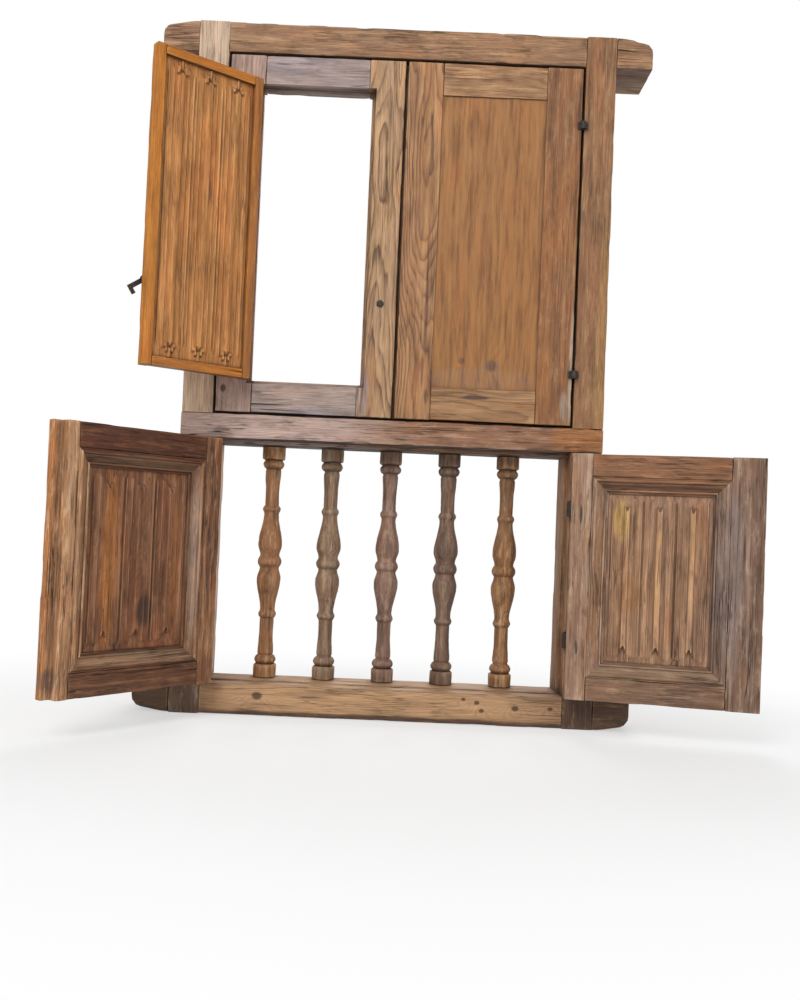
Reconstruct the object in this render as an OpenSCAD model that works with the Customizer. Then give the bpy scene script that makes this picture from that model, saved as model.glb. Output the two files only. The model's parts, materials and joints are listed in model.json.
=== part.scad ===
// Wooden balcony window: a timber frame in two tiers.  The lower tier is a row
// of turned balusters behind a pair of carved shutters.  The upper tier is a
// pair of framed leaves: the left one has a small carved wicket, and the right
// one a fixed panel.
// Origin: middle of the sill's underside.  X runs along the sill, +Y points
// to the street, +Z is up.  The shutters open to the room side, which is -Y.

/* [Frame] */
// Clear width between the jambs
clear_w = 887; // [800:1:1000]
// Width of a jamb's face
jamb_w = 77; // [60:1:100]
// Depth of the frame, from the room side to the street side
frame_depth = 150; // [146:1:200]
// Height of the sill's face
sill_h = 77; // [60:1:110]
// Height of the transom's face
transom_h = 61; // [50:1:90]
// Height of the head's face
head_h = 77; // [60:1:110]
// Length of the horn at each end of the sill and the head
horn_len = 88; // [50:1:140]
// Height of the lower opening, sill to transom
lower_h = 600; // [500:1:720]
// Height of the upper opening, transom to head
upper_h = 900; // [740:1:1100]
// Rise of the stop lip on the jambs, the transom and the head
stop_lip = 10; // [6:1:12]
// Rise of the stop lip on the sill
sill_lip = 4; // [3:1:8]

/* [Balusters] */
// Distance from a jamb's lip to the axis of the nearest baluster
baluster_end = 133.5; // [110:0.5:150]
// Distance of the balusters' axes from the frame's room side
baluster_set = 112; // [110:1:116]
// Width of the octagonal block at each end of a baluster
block_w = 58; // [48:1:62]
// Greatest diameter of a baluster's bellies
belly_d = 63; // [50:1:66]
// Diameter of a baluster's shaft
shaft_d = 36; // [28:1:42]

/* [Shutters] */
// Thickness of a shutter
shutter_t = 45; // [38:1:48]
// Width of the flat part of its stiles
shutter_stile = 50; // [44:1:60]
// Width of the flat part of its rails
shutter_rail = 56; // [44:1:66]
// Width of the moulding worked on its inner edges
moulding_w = 38; // [30:1:44]
// Overlap of the two shutters where they meet
meeting_lap = 20; // [14:1:26]
// Angle of the left shutter from flat against the wall
left_open = 51.5; // [10:0.5:90]
// Angle of the right shutter from flat against the wall
right_open = 12; // [10:0.5:90]

/* [Leaves] */
// Thickness of a leaf
leaf_t = 45; // [42:1:48]
// Width of its stiles
leaf_stile = 89; // [76:1:100]
// Height of its rails
leaf_rail = 82; // [70:1:100]
// Gap between the faces of the two leaves
leaf_gap = 6; // [5:1:8]
// Thickness of the wicket
wicket_t = 28; // [26:1:30]
// Width of the wicket's border
wicket_border = 23; // [20:1:28]
// Angle of the wicket from flat against the leaf
wicket_open = 40; // [10:0.5:90]

/* [Clearances] */
// Gap round everything that swings
swing_gap = 5; // [5:0.5:6]
// Play of a panel's tongue in its groove
groove_play = 0.3; // [0.2:0.1:0.6]
// Radial play of an eye on its pin
pin_play = 0.1; // [0.05:0.05:0.1]

/* [Hidden] */
$fn = 48;

// Planes and levels of the frame
room_y = -frame_depth / 2;
street_y = frame_depth / 2;
lap_y = 0;
stop_y = room_y + max(shutter_t, leaf_t) + swing_gap;
half_clear = clear_w / 2;
half_frame = half_clear + jamb_w;
half_beam = half_frame + horn_len;
transom_z = sill_h + lower_h;
upper_z = transom_z + transom_h;
head_z = upper_z + upper_h;
frame_h = head_z + head_h;

// Worn ends of the sill and the head
horn_rise = 10;
horn_r = 24;
horn_top_r = 5;

// Balusters
baluster_count = 5;
baluster_pitch = (clear_w - 2 * (stop_lip + baluster_end)) / (baluster_count - 1);
baluster_z = sill_h + sill_lip;
baluster_h = transom_z - stop_lip - baluster_z;
block_h = 33;

// Hinges: how far their axis stands off the face, and their knuckles
pin_out = 8;
pin_r = 4;
knuckle_r = 7;
knuckle_h = 18;
knuckle_gap = 0.3;
pin_head = 3;
lug_l = 18;
lug_t = 3;
hinge_inset = 135;

// Shutters
shutter_w = half_clear - swing_gap + meeting_lap / 2;
shutter_h = lower_h - 2 * swing_gap;
shutter_z = sill_h + swing_gap;
lap_t = (shutter_t - swing_gap) / 2;

// Panels: their back, their field and the tongue round them
tongue_w = 9;
tongue_t = 10;
panel_back = 14;
panel_field = 25;
fold_rise = 7;
fold_count = 3;

// Leaves.  The wicket's rebate is cut deeper into the stiles than its lip.
leaf_w = half_clear - swing_gap - leaf_gap / 2;
leaf_h = upper_h - 2 * swing_gap;
leaf_z = upper_z + swing_gap;
leaf_lap = 12;
leaf_panel_back = 5;
leaf_panel_field = 26;
wicket_lip = 11;
stile_relief = 7;
hole_x = leaf_stile - stile_relief;
rebate_x = hole_x - wicket_lip;
rebate_z = leaf_rail - wicket_lip;
wicket_w = leaf_w - 2 * (rebate_x + swing_gap);
wicket_h = leaf_h - 2 * (rebate_z + swing_gap);
wicket_z = leaf_z + rebate_z + swing_gap;
wicket_back = 7;
wicket_field = 18;
wicket_axis_x = half_clear - swing_gap - rebate_x;

// ---------------------------------------------------------------- frame

// A jamb in plan, for the right side: plain outside, with the rebate and the
// stop lip inside.
module jamb_section() {
    polygon([
        [half_clear, room_y], [half_frame, room_y], [half_frame, street_y],
        [half_clear - stop_lip, street_y], [half_clear - stop_lip, stop_y],
        [half_clear, stop_y]
    ]);
}

// The right jamb.  Its front half runs from end to end over the sill and the
// head, and its back half passes behind the transom.
module jamb() {
    beyond = frame_h;
    color("peru") difference() {
        linear_extrude(frame_h) jamb_section();
        translate([0, lap_y, sill_h - beyond]) cube([beyond, beyond, beyond]);
        translate([0, lap_y, head_z]) cube([beyond, beyond, beyond]);
        translate([0, stop_y, sill_h + sill_lip - beyond])
            cube([half_clear, beyond, beyond]);
        translate([0, stop_y, head_z - stop_lip]) cube([half_clear, beyond, beyond]);
        translate([0, lap_y - beyond, transom_z]) cube([beyond, beyond, transom_h]);
        translate([0, stop_y, transom_z - stop_lip])
            cube([half_clear, beyond, transom_h + 2 * stop_lip]);
    }
}

// Face of the sill: a long beam whose horns rise a little underneath and end
// in worn corners.
module beam_outline(h) {
    hull() {
        translate([-half_frame, 0]) square([2 * half_frame, h]);
        for (side = [-1, 1]) {
            translate([side * (half_beam - horn_r), horn_rise + horn_r])
                circle(r = horn_r);
            translate([side * (half_beam - horn_top_r), h - horn_top_r])
                circle(r = horn_top_r);
        }
    }
}

// A beam that runs past both jambs, with a stop lip on top and a housing in
// front for each jamb.
module horned_beam(h, lip) {
    difference() {
        translate([0, street_y, 0]) rotate([90, 0, 0])
            linear_extrude(frame_depth) beam_outline(h);
        for (x = [-half_frame, half_clear])
            translate([x, lap_y - frame_depth, -h]) cube([jamb_w, frame_depth, 3 * h]);
    }
    translate([-half_clear, stop_y, 0])
        cube([clear_w, street_y - stop_y, h + lip]);
}

module sill() {
    color("peru") horned_beam(sill_h, sill_lip);
}

module head() {
    color("peru") translate([0, 0, frame_h]) mirror([0, 0, 1])
        horned_beam(head_h, stop_lip);
}

// The transom has a stop lip above and below, and its front half laps over
// both jambs.
module transom() {
    color("peru") {
        translate([-half_clear, room_y, transom_z])
            cube([clear_w, frame_depth, transom_h]);
        translate([-half_frame, room_y, transom_z])
            cube([2 * half_frame, lap_y - room_y, transom_h]);
        translate([-half_clear, stop_y, transom_z - stop_lip])
            cube([clear_w, street_y - stop_y, transom_h + 2 * stop_lip]);
    }
}

// ------------------------------------------------------------- balusters

// A share from 0 to 1 that starts and ends gently.
function ease(t) = (1 - cos(180 * t)) / 2;

// Points [radius, height] of a slow swell, and of a round bead.
function swell(r0, r1, z0, z1, n = 8) =
    [for (i = [0 : n]) [r0 + (r1 - r0) * ease(i / n), z0 + (z1 - z0) * i / n]];
function bead(r, rise, z0, z1, n = 6) =
    [for (i = [0 : n]) [r + rise * sin(180 * i / n), z0 + (z1 - z0) * i / n]];

// Half of the turning, from a block to the waist: a ring, a long shaft, a
// small bead and a belly.
function half_turning(half) = concat(
    bead(shaft_d * 0.61, shaft_d * 0.17, 0, half * 0.09),
    swell(shaft_d * 0.58, shaft_d * 0.5, half * 0.1, half * 0.3),
    [[shaft_d * 0.51, half * 0.45]],
    bead(shaft_d * 0.55, shaft_d * 0.1, half * 0.46, half * 0.52, 4),
    swell(shaft_d * 0.54, belly_d * 0.5, half * 0.53, half * 0.83),
    swell(belly_d * 0.49, belly_d * 0.4, half * 0.85, half * 0.94, 5)
);

module baluster() {
    turned = baluster_h - 2 * block_h;
    half = turned / 2;
    lower = half_turning(half);
    waist = bead(belly_d * 0.42, belly_d * 0.075, half * 0.95, half * 1.05);
    upper = [for (i = [len(lower) - 1 : -1 : 0]) [lower[i][0], turned - lower[i][1]]];
    color("sienna") {
        for (z = [0, baluster_h - block_h])
            translate([0, 0, z]) rotate([0, 0, 22.5])
                cylinder(h = block_h, d = block_w / cos(22.5), $fn = 8);
        translate([0, 0, block_h]) rotate_extrude()
            polygon(concat([[0, 0]], lower, waist, upper, [[0, turned]]));
    }
}

module baluster_in_row(number) {
    x = (number - (baluster_count + 1) / 2) * baluster_pitch;
    translate([x, room_y + baluster_set, baluster_z]) baluster();
}

// ----------------------------------------------------- carved panels

// Height of one fold of the carving; u runs from -1 to 1 across it.
function fold_height(u) = fold_rise * (
    u < 0.16 ? 0.55 + 0.45 * cos(90 * u / 0.16)
    : u < 0.86 ? 0.5 - 0.35 * sin(180 * (u - 0.16) / 0.7)
    : 0.5 * (1 - u) / 0.14);

// A strip of folded cloth carved in wood, pointed at both ends; z along it,
// y out of the panel.
module linen_fold(w, h) {
    point = w * 0.22;
    steps = 24;
    foot = 0.4;
    intersection() {
        linear_extrude(h) polygon(concat([[-w / 2, -1]],
            [for (i = [0 : steps]) let (u = 2 * i / steps - 1)
                [u * w / 2, foot + fold_height(abs(u))]],
            [[w / 2, -1]]));
        translate([0, 2 * fold_rise, 0]) rotate([90, 0, 0])
            linear_extrude(3 * fold_rise) polygon([
                [-w / 2, point], [0, 0], [w / 2, point],
                [w / 2, h - point], [0, h], [-w / 2, h - point]
            ]);
    }
}

// A panel with folds on its street face and a tongue all round.  w and h are
// its visible size, and y runs from the room side.
module carved_panel(w, h, back_y, field_y, tongue) {
    margin = w * 0.03;
    fold_w = (w - 2 * margin) / fold_count;
    color("chocolate") {
        translate([0, back_y, 0]) cube([w, field_y - back_y, h]);
        translate([-tongue, back_y, -tongue])
            cube([w + 2 * tongue, tongue_t, h + 2 * tongue]);
        for (i = [0 : fold_count - 1])
            translate([margin + fold_w * (i + 0.5), field_y, margin])
                linen_fold(fold_w * 0.92, h - 2 * margin);
    }
}

// The groove that such a panel's tongue stands in, as a solid to cut away.
// inset_x and inset_z are the widths of the members round the panel.
module panel_groove(w, h, inset_x, inset_z, back_y) {
    x0 = inset_x - tongue_w;
    z0 = inset_z - tongue_w;
    translate([x0, back_y - groove_play, z0])
        cube([w - 2 * x0, tongue_t + 2 * groove_play, h - 2 * z0]);
}

// A panel set in its groove with a little play all round.
module panel_in(w, h, inset_x, inset_z, back_y, field_y) {
    translate([inset_x + groove_play, 0, inset_z + groove_play])
        carved_panel(w - 2 * (inset_x + groove_play), h - 2 * (inset_z + groove_play),
            back_y, field_y, tongue_w - 2 * groove_play);
}

// -------------------------------------------------------------- shutters
// A shutter is drawn closed and hung on the left: x runs from its hinge edge
// to its meeting edge, y from its room face to its carved face, and z up.

// Section of the moulding, x from the flat of the frame inwards: a quirk, a
// bead, a slope and a flat step round the panel.
module moulding_section() {
    quirk = 3;
    bead_r = 4;
    step_w = 5;
    step_y = panel_field + 4;
    shoulder_y = shutter_t - bead_r;
    x0 = quirk + 2 * bead_r;
    x1 = moulding_w - step_w;
    polygon(concat(
        [[0, 0], [0, shoulder_y], [quirk, shoulder_y]],
        [for (a = [30 : 30 : 150])
            [quirk + bead_r * (1 - cos(a)), shoulder_y + bead_r * sin(a)]],
        [for (i = [0 : 6])
            [x0 + (x1 - x0) * i / 6, shoulder_y - (shoulder_y - step_y - 2) * ease(i / 6)]],
        [[x1, step_y], [moulding_w, step_y], [moulding_w, 0]]
    ));
}

// A length of the moulding along z, mitred at both ends.
module moulding(length) {
    intersection() {
        linear_extrude(length) moulding_section();
        translate([0, 2 * shutter_t, 0]) rotate([90, 0, 0])
            linear_extrude(3 * shutter_t) polygon([
                [0, 0], [moulding_w, moulding_w],
                [moulding_w, length - moulding_w], [0, length]
            ]);
    }
}

module shutter_groove() {
    panel_groove(shutter_w, shutter_h, shutter_stile + moulding_w,
        shutter_rail + moulding_w, panel_back);
}

module shutter_hinge_stile() {
    color("sienna") difference() {
        union() {
            cube([shutter_stile, shutter_t, shutter_h]);
            translate([shutter_stile, 0, shutter_rail])
                moulding(shutter_h - 2 * shutter_rail);
        }
        shutter_groove();
    }
}

// The meeting stile is thinned on one face, so that the shutters overlap.
module shutter_meeting_stile(cut_y) {
    color("sienna") difference() {
        translate([shutter_w, 0, 0]) mirror([1, 0, 0]) union() {
            cube([shutter_stile, shutter_t, shutter_h]);
            translate([shutter_stile, 0, shutter_rail])
                moulding(shutter_h - 2 * shutter_rail);
        }
        shutter_groove();
        translate([shutter_w - meeting_lap - swing_gap, cut_y, -shutter_h])
            cube([shutter_w, shutter_t - lap_t, 3 * shutter_h]);
    }
}

module shutter_bottom_rail() {
    length = shutter_w - 2 * shutter_stile;
    color("sienna") difference() {
        union() {
            translate([shutter_stile, 0, 0]) cube([length, shutter_t, shutter_rail]);
            translate([shutter_w - shutter_stile, 0, shutter_rail])
                rotate([0, -90, 0]) moulding(length);
        }
        shutter_groove();
    }
}

module shutter_top_rail() {
    translate([0, 0, shutter_h]) mirror([0, 0, 1]) shutter_bottom_rail();
}

module shutter_panel() {
    panel_in(shutter_w, shutter_h, shutter_stile + moulding_w,
        shutter_rail + moulding_w, panel_back, panel_field);
}

// ---------------------------------------------------------------- leaves
// A leaf is drawn hung on the left, like a shutter.

// The hole that the wicket closes, wider on the room side for its rebate.
module wicket_hole() {
    translate([hole_x, -leaf_t, leaf_rail])
        cube([leaf_w - 2 * hole_x, 3 * leaf_t, leaf_h - 2 * leaf_rail]);
    translate([rebate_x, -leaf_t, rebate_z])
        cube([leaf_w - 2 * rebate_x, leaf_t + wicket_t + swing_gap, leaf_h - 2 * rebate_z]);
}

module leaf_groove() {
    panel_groove(leaf_w, leaf_h, leaf_stile, leaf_rail, leaf_panel_back);
}

module leaf_hinge_stile() {
    cube([leaf_stile, leaf_t, leaf_h]);
}

module leaf_meeting_stile() {
    translate([leaf_w - leaf_stile, 0, 0]) cube([leaf_stile, leaf_t, leaf_h]);
}

module leaf_rails(z) {
    translate([leaf_stile, 0, z])
        cube([leaf_w - 2 * leaf_stile, leaf_t, leaf_rail]);
}

// The left leaf's tongue runs behind the right leaf, so that no light shows
// between them.
module left_meeting_tongue() {
    tongue_y = leaf_t / 2 + groove_play;
    translate([leaf_w - leaf_lap, tongue_y, 0])
        cube([2 * leaf_lap + leaf_gap - 1, leaf_t - tongue_y, leaf_h]);
}

module right_meeting_rebate() {
    translate([leaf_w - leaf_lap, leaf_t / 2, -leaf_h])
        cube([leaf_w, leaf_t, 3 * leaf_h]);
}

module right_leaf_panel() {
    panel_in(leaf_w, leaf_h, leaf_stile, leaf_rail, leaf_panel_back, leaf_panel_field);
}

// ---------------------------------------------------------------- wicket
// A thin border round a carved panel, plain on the room face.

module wicket_groove() {
    panel_groove(wicket_w, wicket_h, wicket_border, wicket_border, wicket_back);
}

module wicket_stiles() {
    color("goldenrod") difference() {
        for (x = [0, wicket_w - wicket_border])
            translate([x, 0, 0]) cube([wicket_border, wicket_t, wicket_h]);
        wicket_groove();
    }
}

module wicket_rails() {
    color("goldenrod") difference() {
        for (z = [0, wicket_h - wicket_border])
            translate([wicket_border, 0, z])
                cube([wicket_w - 2 * wicket_border, wicket_t, wicket_border]);
        wicket_groove();
    }
}

module wicket_panel() {
    panel_in(wicket_w, wicket_h, wicket_border, wicket_border, wicket_back, wicket_field);
}

// ------------------------------------------------------------- ironwork
// Hinge axis at the origin; the faces of the wood are at y = pin_out, with
// the carrier on the -x side.

// The carrier's half: a lug on the face, a knuckle and a standing pin.
module hinge_pin_iron() {
    color("dimgray") {
        translate([-lug_l, pin_out - lug_t, 0]) cube([lug_l, lug_t, knuckle_h]);
        translate([-knuckle_r, 0, 0]) cube([knuckle_r, pin_out, knuckle_h]);
        cylinder(h = knuckle_h, r = knuckle_r);
        cylinder(h = 2 * knuckle_h + pin_head, r = pin_r);
    }
}

// The swinging half: an eye on the pin and a lug on the room face.
module hinge_eye_iron() {
    color("dimgray") translate([0, 0, knuckle_h + knuckle_gap]) difference() {
        union() {
            translate([0, pin_out - lug_t, 0]) cube([lug_l, lug_t, knuckle_h]);
            cube([knuckle_r, pin_out, knuckle_h]);
            cylinder(h = knuckle_h, r = knuckle_r);
        }
        translate([0, 0, -knuckle_h]) cylinder(h = 3 * knuckle_h, r = pin_r + pin_play);
    }
}

// Ring hinge of a leaf that stays shut: a short barrel over the gap, and a
// lug that bridges it.
module closed_hinge() {
    bridge = 2 * (knuckle_r + swing_gap);
    color("dimgray") translate([0, -knuckle_r, 0]) {
        cylinder(h = knuckle_h, r = knuckle_r);
        translate([-bridge / 2, knuckle_r - lug_t, 0]) cube([bridge, lug_t, knuckle_h]);
    }
}

// Heights of the two hinges of a leaf.
function hinge_levels(z, h) = [z + hinge_inset - knuckle_h, z + h - hinge_inset - knuckle_h];

// Puts a hinge on the left and the right side, at two heights.
module both_sides() {
    children();
    mirror([1, 0, 0]) children();
}

module jamb_hinge_pins() {
    both_sides() for (z = hinge_levels(shutter_z, shutter_h))
        translate([-half_clear, room_y - pin_out, z]) hinge_pin_iron();
}

module leaf_hinges() {
    both_sides() for (z = hinge_levels(leaf_z, leaf_h))
        translate([-half_clear + swing_gap / 2, room_y, z]) closed_hinge();
}

module wicket_hinge_pins() {
    for (z = hinge_levels(wicket_z, wicket_h))
        translate([-wicket_axis_x, room_y - pin_out, z]) hinge_pin_iron();
}

module hinge_eyes(h) {
    for (z = hinge_levels(0, h))
        translate([-swing_gap, -pin_out, z]) hinge_eye_iron();
}

// A hooked bar on the wicket's free stile, turned down from its boss.  It
// stands off the room face, because it reaches past the wicket's edge.
module wicket_latch() {
    bar_w = 11;
    bar_l = 46;
    bar_t = 6;
    hook_w = 8;
    hook_h = 12;
    boss_d = 18;
    boss_h = swing_gap + bar_t + 2;
    level = 200;
    tilt = 35;
    color("dimgray") translate([wicket_w - wicket_border / 2, 0, level]) {
        rotate([90, 0, 0]) cylinder(h = boss_h, d = boss_d);
        translate([0, -swing_gap - bar_t, 0]) rotate([0, tilt, 0]) {
            translate([0, 0, -bar_w / 2]) cube([bar_l, bar_t, bar_w]);
            translate([bar_l - hook_w, 0, -bar_w / 2 - hook_h])
                cube([hook_w, bar_t, hook_h]);
        }
    }
}

// The head of a nail in the left leaf's meeting stile.
module clenched_nail() {
    head_r = 9;
    crown_r = 6;
    head_rise = 4;
    in_from_edge = 40;
    level = 282;
    color("dimgray") translate([-leaf_gap / 2 - in_from_edge, room_y, leaf_z + level])
        rotate([90, 0, 0]) cylinder(h = head_rise, r1 = head_r, r2 = crown_r);
}

// ---------------------------------------------- placing the swinging parts
// hang() takes a part drawn closed on the left.  It sets the part a gap away
// from the hinge axis, turns it open and moves it to the axis; side is 1 for
// a part hung on the right.
module hang(side, axis_x, opened, z) {
    translate([side * axis_x, room_y - pin_out, z]) rotate([0, 0, side * opened])
        mirror([side > 0 ? 1 : 0, 0, 0]) translate([swing_gap, pin_out, 0]) children();
}

module left_shutter() {
    hang(-1, half_clear, 180 - left_open, shutter_z) children();
}

module right_shutter() {
    hang(1, half_clear, 180 - right_open, shutter_z) children();
}

module wicket() {
    hang(-1, wicket_axis_x, 180 - wicket_open, wicket_z) children();
}

module left_leaf() {
    color("peru") translate([-half_clear + swing_gap, room_y, leaf_z]) difference() {
        children();
        wicket_hole();
    }
}

module right_leaf() {
    color("peru") mirror([1, 0, 0]) translate([-half_clear + swing_gap, room_y, leaf_z])
        difference() {
            children();
            leaf_groove();
        }
}

// ------------------------------------------------------------- the nodes

sill();
mirror([1, 0, 0]) jamb();  // left_jamb
jamb();  // right_jamb
transom();
head();
baluster_in_row(1);  // baluster_1
baluster_in_row(2);  // baluster_2
baluster_in_row(3);  // baluster_3
baluster_in_row(4);  // baluster_4
baluster_in_row(5);  // baluster_5
left_shutter() shutter_hinge_stile();  // lower_left_hinge_stile
left_shutter() shutter_meeting_stile(lap_t);  // lower_left_meeting_stile
left_shutter() shutter_top_rail();  // lower_left_top_rail
left_shutter() shutter_bottom_rail();  // lower_left_bottom_rail
left_shutter() shutter_panel();  // lower_left_panel
right_shutter() shutter_hinge_stile();  // lower_right_hinge_stile
right_shutter() shutter_meeting_stile(0);  // lower_right_meeting_stile
right_shutter() shutter_top_rail();  // lower_right_top_rail
right_shutter() shutter_bottom_rail();  // lower_right_bottom_rail
right_shutter() shutter_panel();  // lower_right_panel
left_leaf() leaf_hinge_stile();  // left_leaf_hinge_stile
left_leaf() {  // left_leaf_meeting_stile
    leaf_meeting_stile();
    left_meeting_tongue();
}
left_leaf() leaf_rails(0);  // left_leaf_bottom_rail
left_leaf() leaf_rails(leaf_h - leaf_rail);  // left_leaf_top_rail
right_leaf() leaf_hinge_stile();  // right_leaf_hinge_stile
right_leaf() difference() {  // right_leaf_meeting_stile
    leaf_meeting_stile();
    right_meeting_rebate();
}
right_leaf() leaf_rails(0);  // right_leaf_bottom_rail
right_leaf() leaf_rails(leaf_h - leaf_rail);  // right_leaf_top_rail
mirror([1, 0, 0]) translate([-half_clear + swing_gap, room_y, leaf_z])
        right_leaf_panel();
wicket() wicket_stiles();
wicket() wicket_rails();
wicket() wicket_panel();
jamb_hinge_pins();
left_shutter() hinge_eyes(shutter_h);  // lower_left_hinge_eyes
right_shutter() hinge_eyes(shutter_h);  // lower_right_hinge_eyes
wicket_hinge_pins();
wicket() hinge_eyes(wicket_h);  // wicket_hinge_eyes
leaf_hinges();
wicket() wicket_latch();
clenched_nail();
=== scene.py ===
import json
import math

import bmesh
import bpy
import numpy as np
from mathutils import Matrix, Vector


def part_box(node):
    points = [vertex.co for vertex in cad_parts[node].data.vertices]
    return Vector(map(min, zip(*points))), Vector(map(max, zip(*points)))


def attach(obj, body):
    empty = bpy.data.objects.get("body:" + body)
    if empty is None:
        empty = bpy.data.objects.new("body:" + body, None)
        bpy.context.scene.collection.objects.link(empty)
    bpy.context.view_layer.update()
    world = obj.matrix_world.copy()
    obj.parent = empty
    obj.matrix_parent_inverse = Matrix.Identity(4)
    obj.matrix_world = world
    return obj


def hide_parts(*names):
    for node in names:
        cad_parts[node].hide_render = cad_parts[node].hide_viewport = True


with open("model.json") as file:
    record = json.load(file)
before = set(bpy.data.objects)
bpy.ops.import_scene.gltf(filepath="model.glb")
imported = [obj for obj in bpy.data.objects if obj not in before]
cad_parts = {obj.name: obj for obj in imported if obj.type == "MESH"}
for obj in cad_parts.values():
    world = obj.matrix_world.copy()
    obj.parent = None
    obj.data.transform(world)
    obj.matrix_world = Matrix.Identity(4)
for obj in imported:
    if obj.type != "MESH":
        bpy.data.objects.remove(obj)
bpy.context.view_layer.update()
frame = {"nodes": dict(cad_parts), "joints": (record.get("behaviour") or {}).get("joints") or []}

# ------------------------------------------------------------------ sizes
# The frame gives the places; these are the sizes inside the timbers.
STOP_LIP = 0.010
SILL_LIP = 0.004
REBATE = 0.050
GAP = 0.005

SHUTTER_W = 0.4485
SHUTTER_H = 0.590
SHUTTER_T = 0.045
SHUTTER_STILE = 0.050
FREE_STILE = {"left": 0.050, "right": 0.080}
SHUTTER_RAIL = 0.056
MOULDING_W = 0.038
LAP_W = 0.020
LAP_T = 0.020
PANEL_BACK = 0.014
PANEL_FIELD = 0.025
TONGUE = 0.008

LEAF_W = 0.4355
LEAF_T = 0.045
LEAF_STILE = 0.089
LEAF_RAIL = 0.082
HOLE_X = 0.082
WICKET_LIP = 0.011
WICKET_T = 0.028
BORDER = 0.023

sill_lo, sill_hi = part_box("sill")
head_lo, head_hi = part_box("head")
transom_lo, transom_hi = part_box("transom")
jamb_lo, jamb_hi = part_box("right_jamb")
leaf_lo, leaf_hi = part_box("left_leaf_hinge_stile")

ROOM = sill_lo.y
STREET = sill_hi.y
STOP_Y = ROOM + REBATE
CLEAR = jamb_lo.x + STOP_LIP
OUTER = jamb_hi.x
BEAM = sill_hi.x
SILL_TOP = sill_hi.z - SILL_LIP
TRANSOM_Z = transom_lo.z + STOP_LIP
UPPER_Z = transom_hi.z - STOP_LIP
HEAD_Z = head_lo.z + STOP_LIP
TOP = head_hi.z
LEAF_Z = leaf_lo.z
LEAF_H = leaf_hi.z - leaf_lo.z
WICKET_W = LEAF_W - 2 * (HOLE_X - WICKET_LIP + GAP)
WICKET_H = LEAF_H - 2 * (LEAF_RAIL - WICKET_LIP + GAP)
FAR = 4.0


# ------------------------------------------------------------- mesh making

def smooth(t):
    """0 to 1 with a gentle start and end; t is clipped to 0..1."""
    t = np.clip(t, 0, 1)
    return t * t * (3 - 2 * t)


def bump(x, width):
    """A round bump of height 1 at x = 0."""
    return np.exp(-(x / width) ** 2)


def noise2(u, v, seed):
    """Smooth noise from -1 to 1, one lattice cell to a unit."""
    cells = 64
    table = np.random.default_rng(seed).uniform(-1, 1, (cells, cells))
    iu = np.floor(u).astype(int)
    iv = np.floor(v).astype(int)
    fu = smooth(u - iu)
    fv = smooth(v - iv)
    low = table[iu % cells, iv % cells] * (1 - fu) + table[(iu + 1) % cells, iv % cells] * fu
    high = (table[iu % cells, (iv + 1) % cells] * (1 - fu)
            + table[(iu + 1) % cells, (iv + 1) % cells] * fu)
    return low * (1 - fv) + high * fv


def finish_mesh(mesh, sharp=math.radians(38)):
    """Outward faces, smooth shading, and sharp edges where the wood turns."""
    bm = bmesh.new()
    bm.from_mesh(mesh)
    bmesh.ops.remove_doubles(bm, verts=bm.verts, dist=1e-6)
    bmesh.ops.recalc_face_normals(bm, faces=bm.faces)
    for face in bm.faces:
        face.smooth = True
    for edge in bm.edges:
        edge.smooth = len(edge.link_faces) == 2 and edge.calc_face_angle(0) < sharp
    bm.to_mesh(mesh)
    bm.free()


def shells_object(name, shells, mirror=False):
    """One object from closed shells; a shell is (vertices, faces)."""
    verts, faces = [], []
    for shell_verts, shell_faces in shells:
        start = len(verts)
        verts += [tuple(v) for v in shell_verts]
        faces += [tuple(start + i for i in f) for f in shell_faces]
    if mirror:
        verts = [(-x, y, z) for x, y, z in verts]
    mesh = bpy.data.meshes.new(name)
    mesh.from_pydata(verts, [], faces)
    finish_mesh(mesh)
    obj = bpy.data.objects.new(name, mesh)
    bpy.context.scene.collection.objects.link(obj)
    return obj


def tube_faces(stations, around):
    """Faces of a closed tube of rings, with a cap at each end."""
    faces = []
    for i in range(stations - 1):
        for j in range(around):
            k = (j + 1) % around
            faces.append((i * around + j, i * around + k,
                          (i + 1) * around + k, (i + 1) * around + j))
    faces.append(tuple(range(around)))
    faces.append(tuple((stations - 1) * around + j for j in range(around)))
    return faces


def rounded(corners, radius, step):
    """Points about step apart round a polygon with rounded corners."""
    corners = [np.array(c, float) for c in corners]
    points = []
    count = len(corners)
    for i in range(count):
        before, corner, after = corners[i - 1], corners[i], corners[(i + 1) % count]
        r_in = min(radius, 0.4 * np.linalg.norm(corner - before))
        r_out = min(radius, 0.4 * np.linalg.norm(after - corner))
        a = corner + (before - corner) / np.linalg.norm(before - corner) * r_in
        b = corner + (after - corner) / np.linalg.norm(after - corner) * r_out
        for t in (0, 0.33, 0.67, 1):
            points.append((1 - t) ** 2 * a + 2 * t * (1 - t) * corner + t * t * b)
    full = []
    for i, p in enumerate(points):
        q = points[(i + 1) % len(points)]
        parts = max(1, int(round(np.linalg.norm(q - p) / step)))
        full += [p + (q - p) * k / parts for k in range(parts)]
    return np.array(full)


def outward(points):
    """Outward direction at each point of a closed outline."""
    along = np.roll(points, -1, 0) - np.roll(points, 1, 0)
    along /= np.linalg.norm(along, axis=1)[:, None] + 1e-12
    area = np.sum(points[:, 0] * np.roll(points[:, 1], -1)
                  - np.roll(points[:, 0], -1) * points[:, 1])
    side = 1 if area > 0 else -1
    return np.stack([along[:, 1], -along[:, 0]], 1) * side


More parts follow.
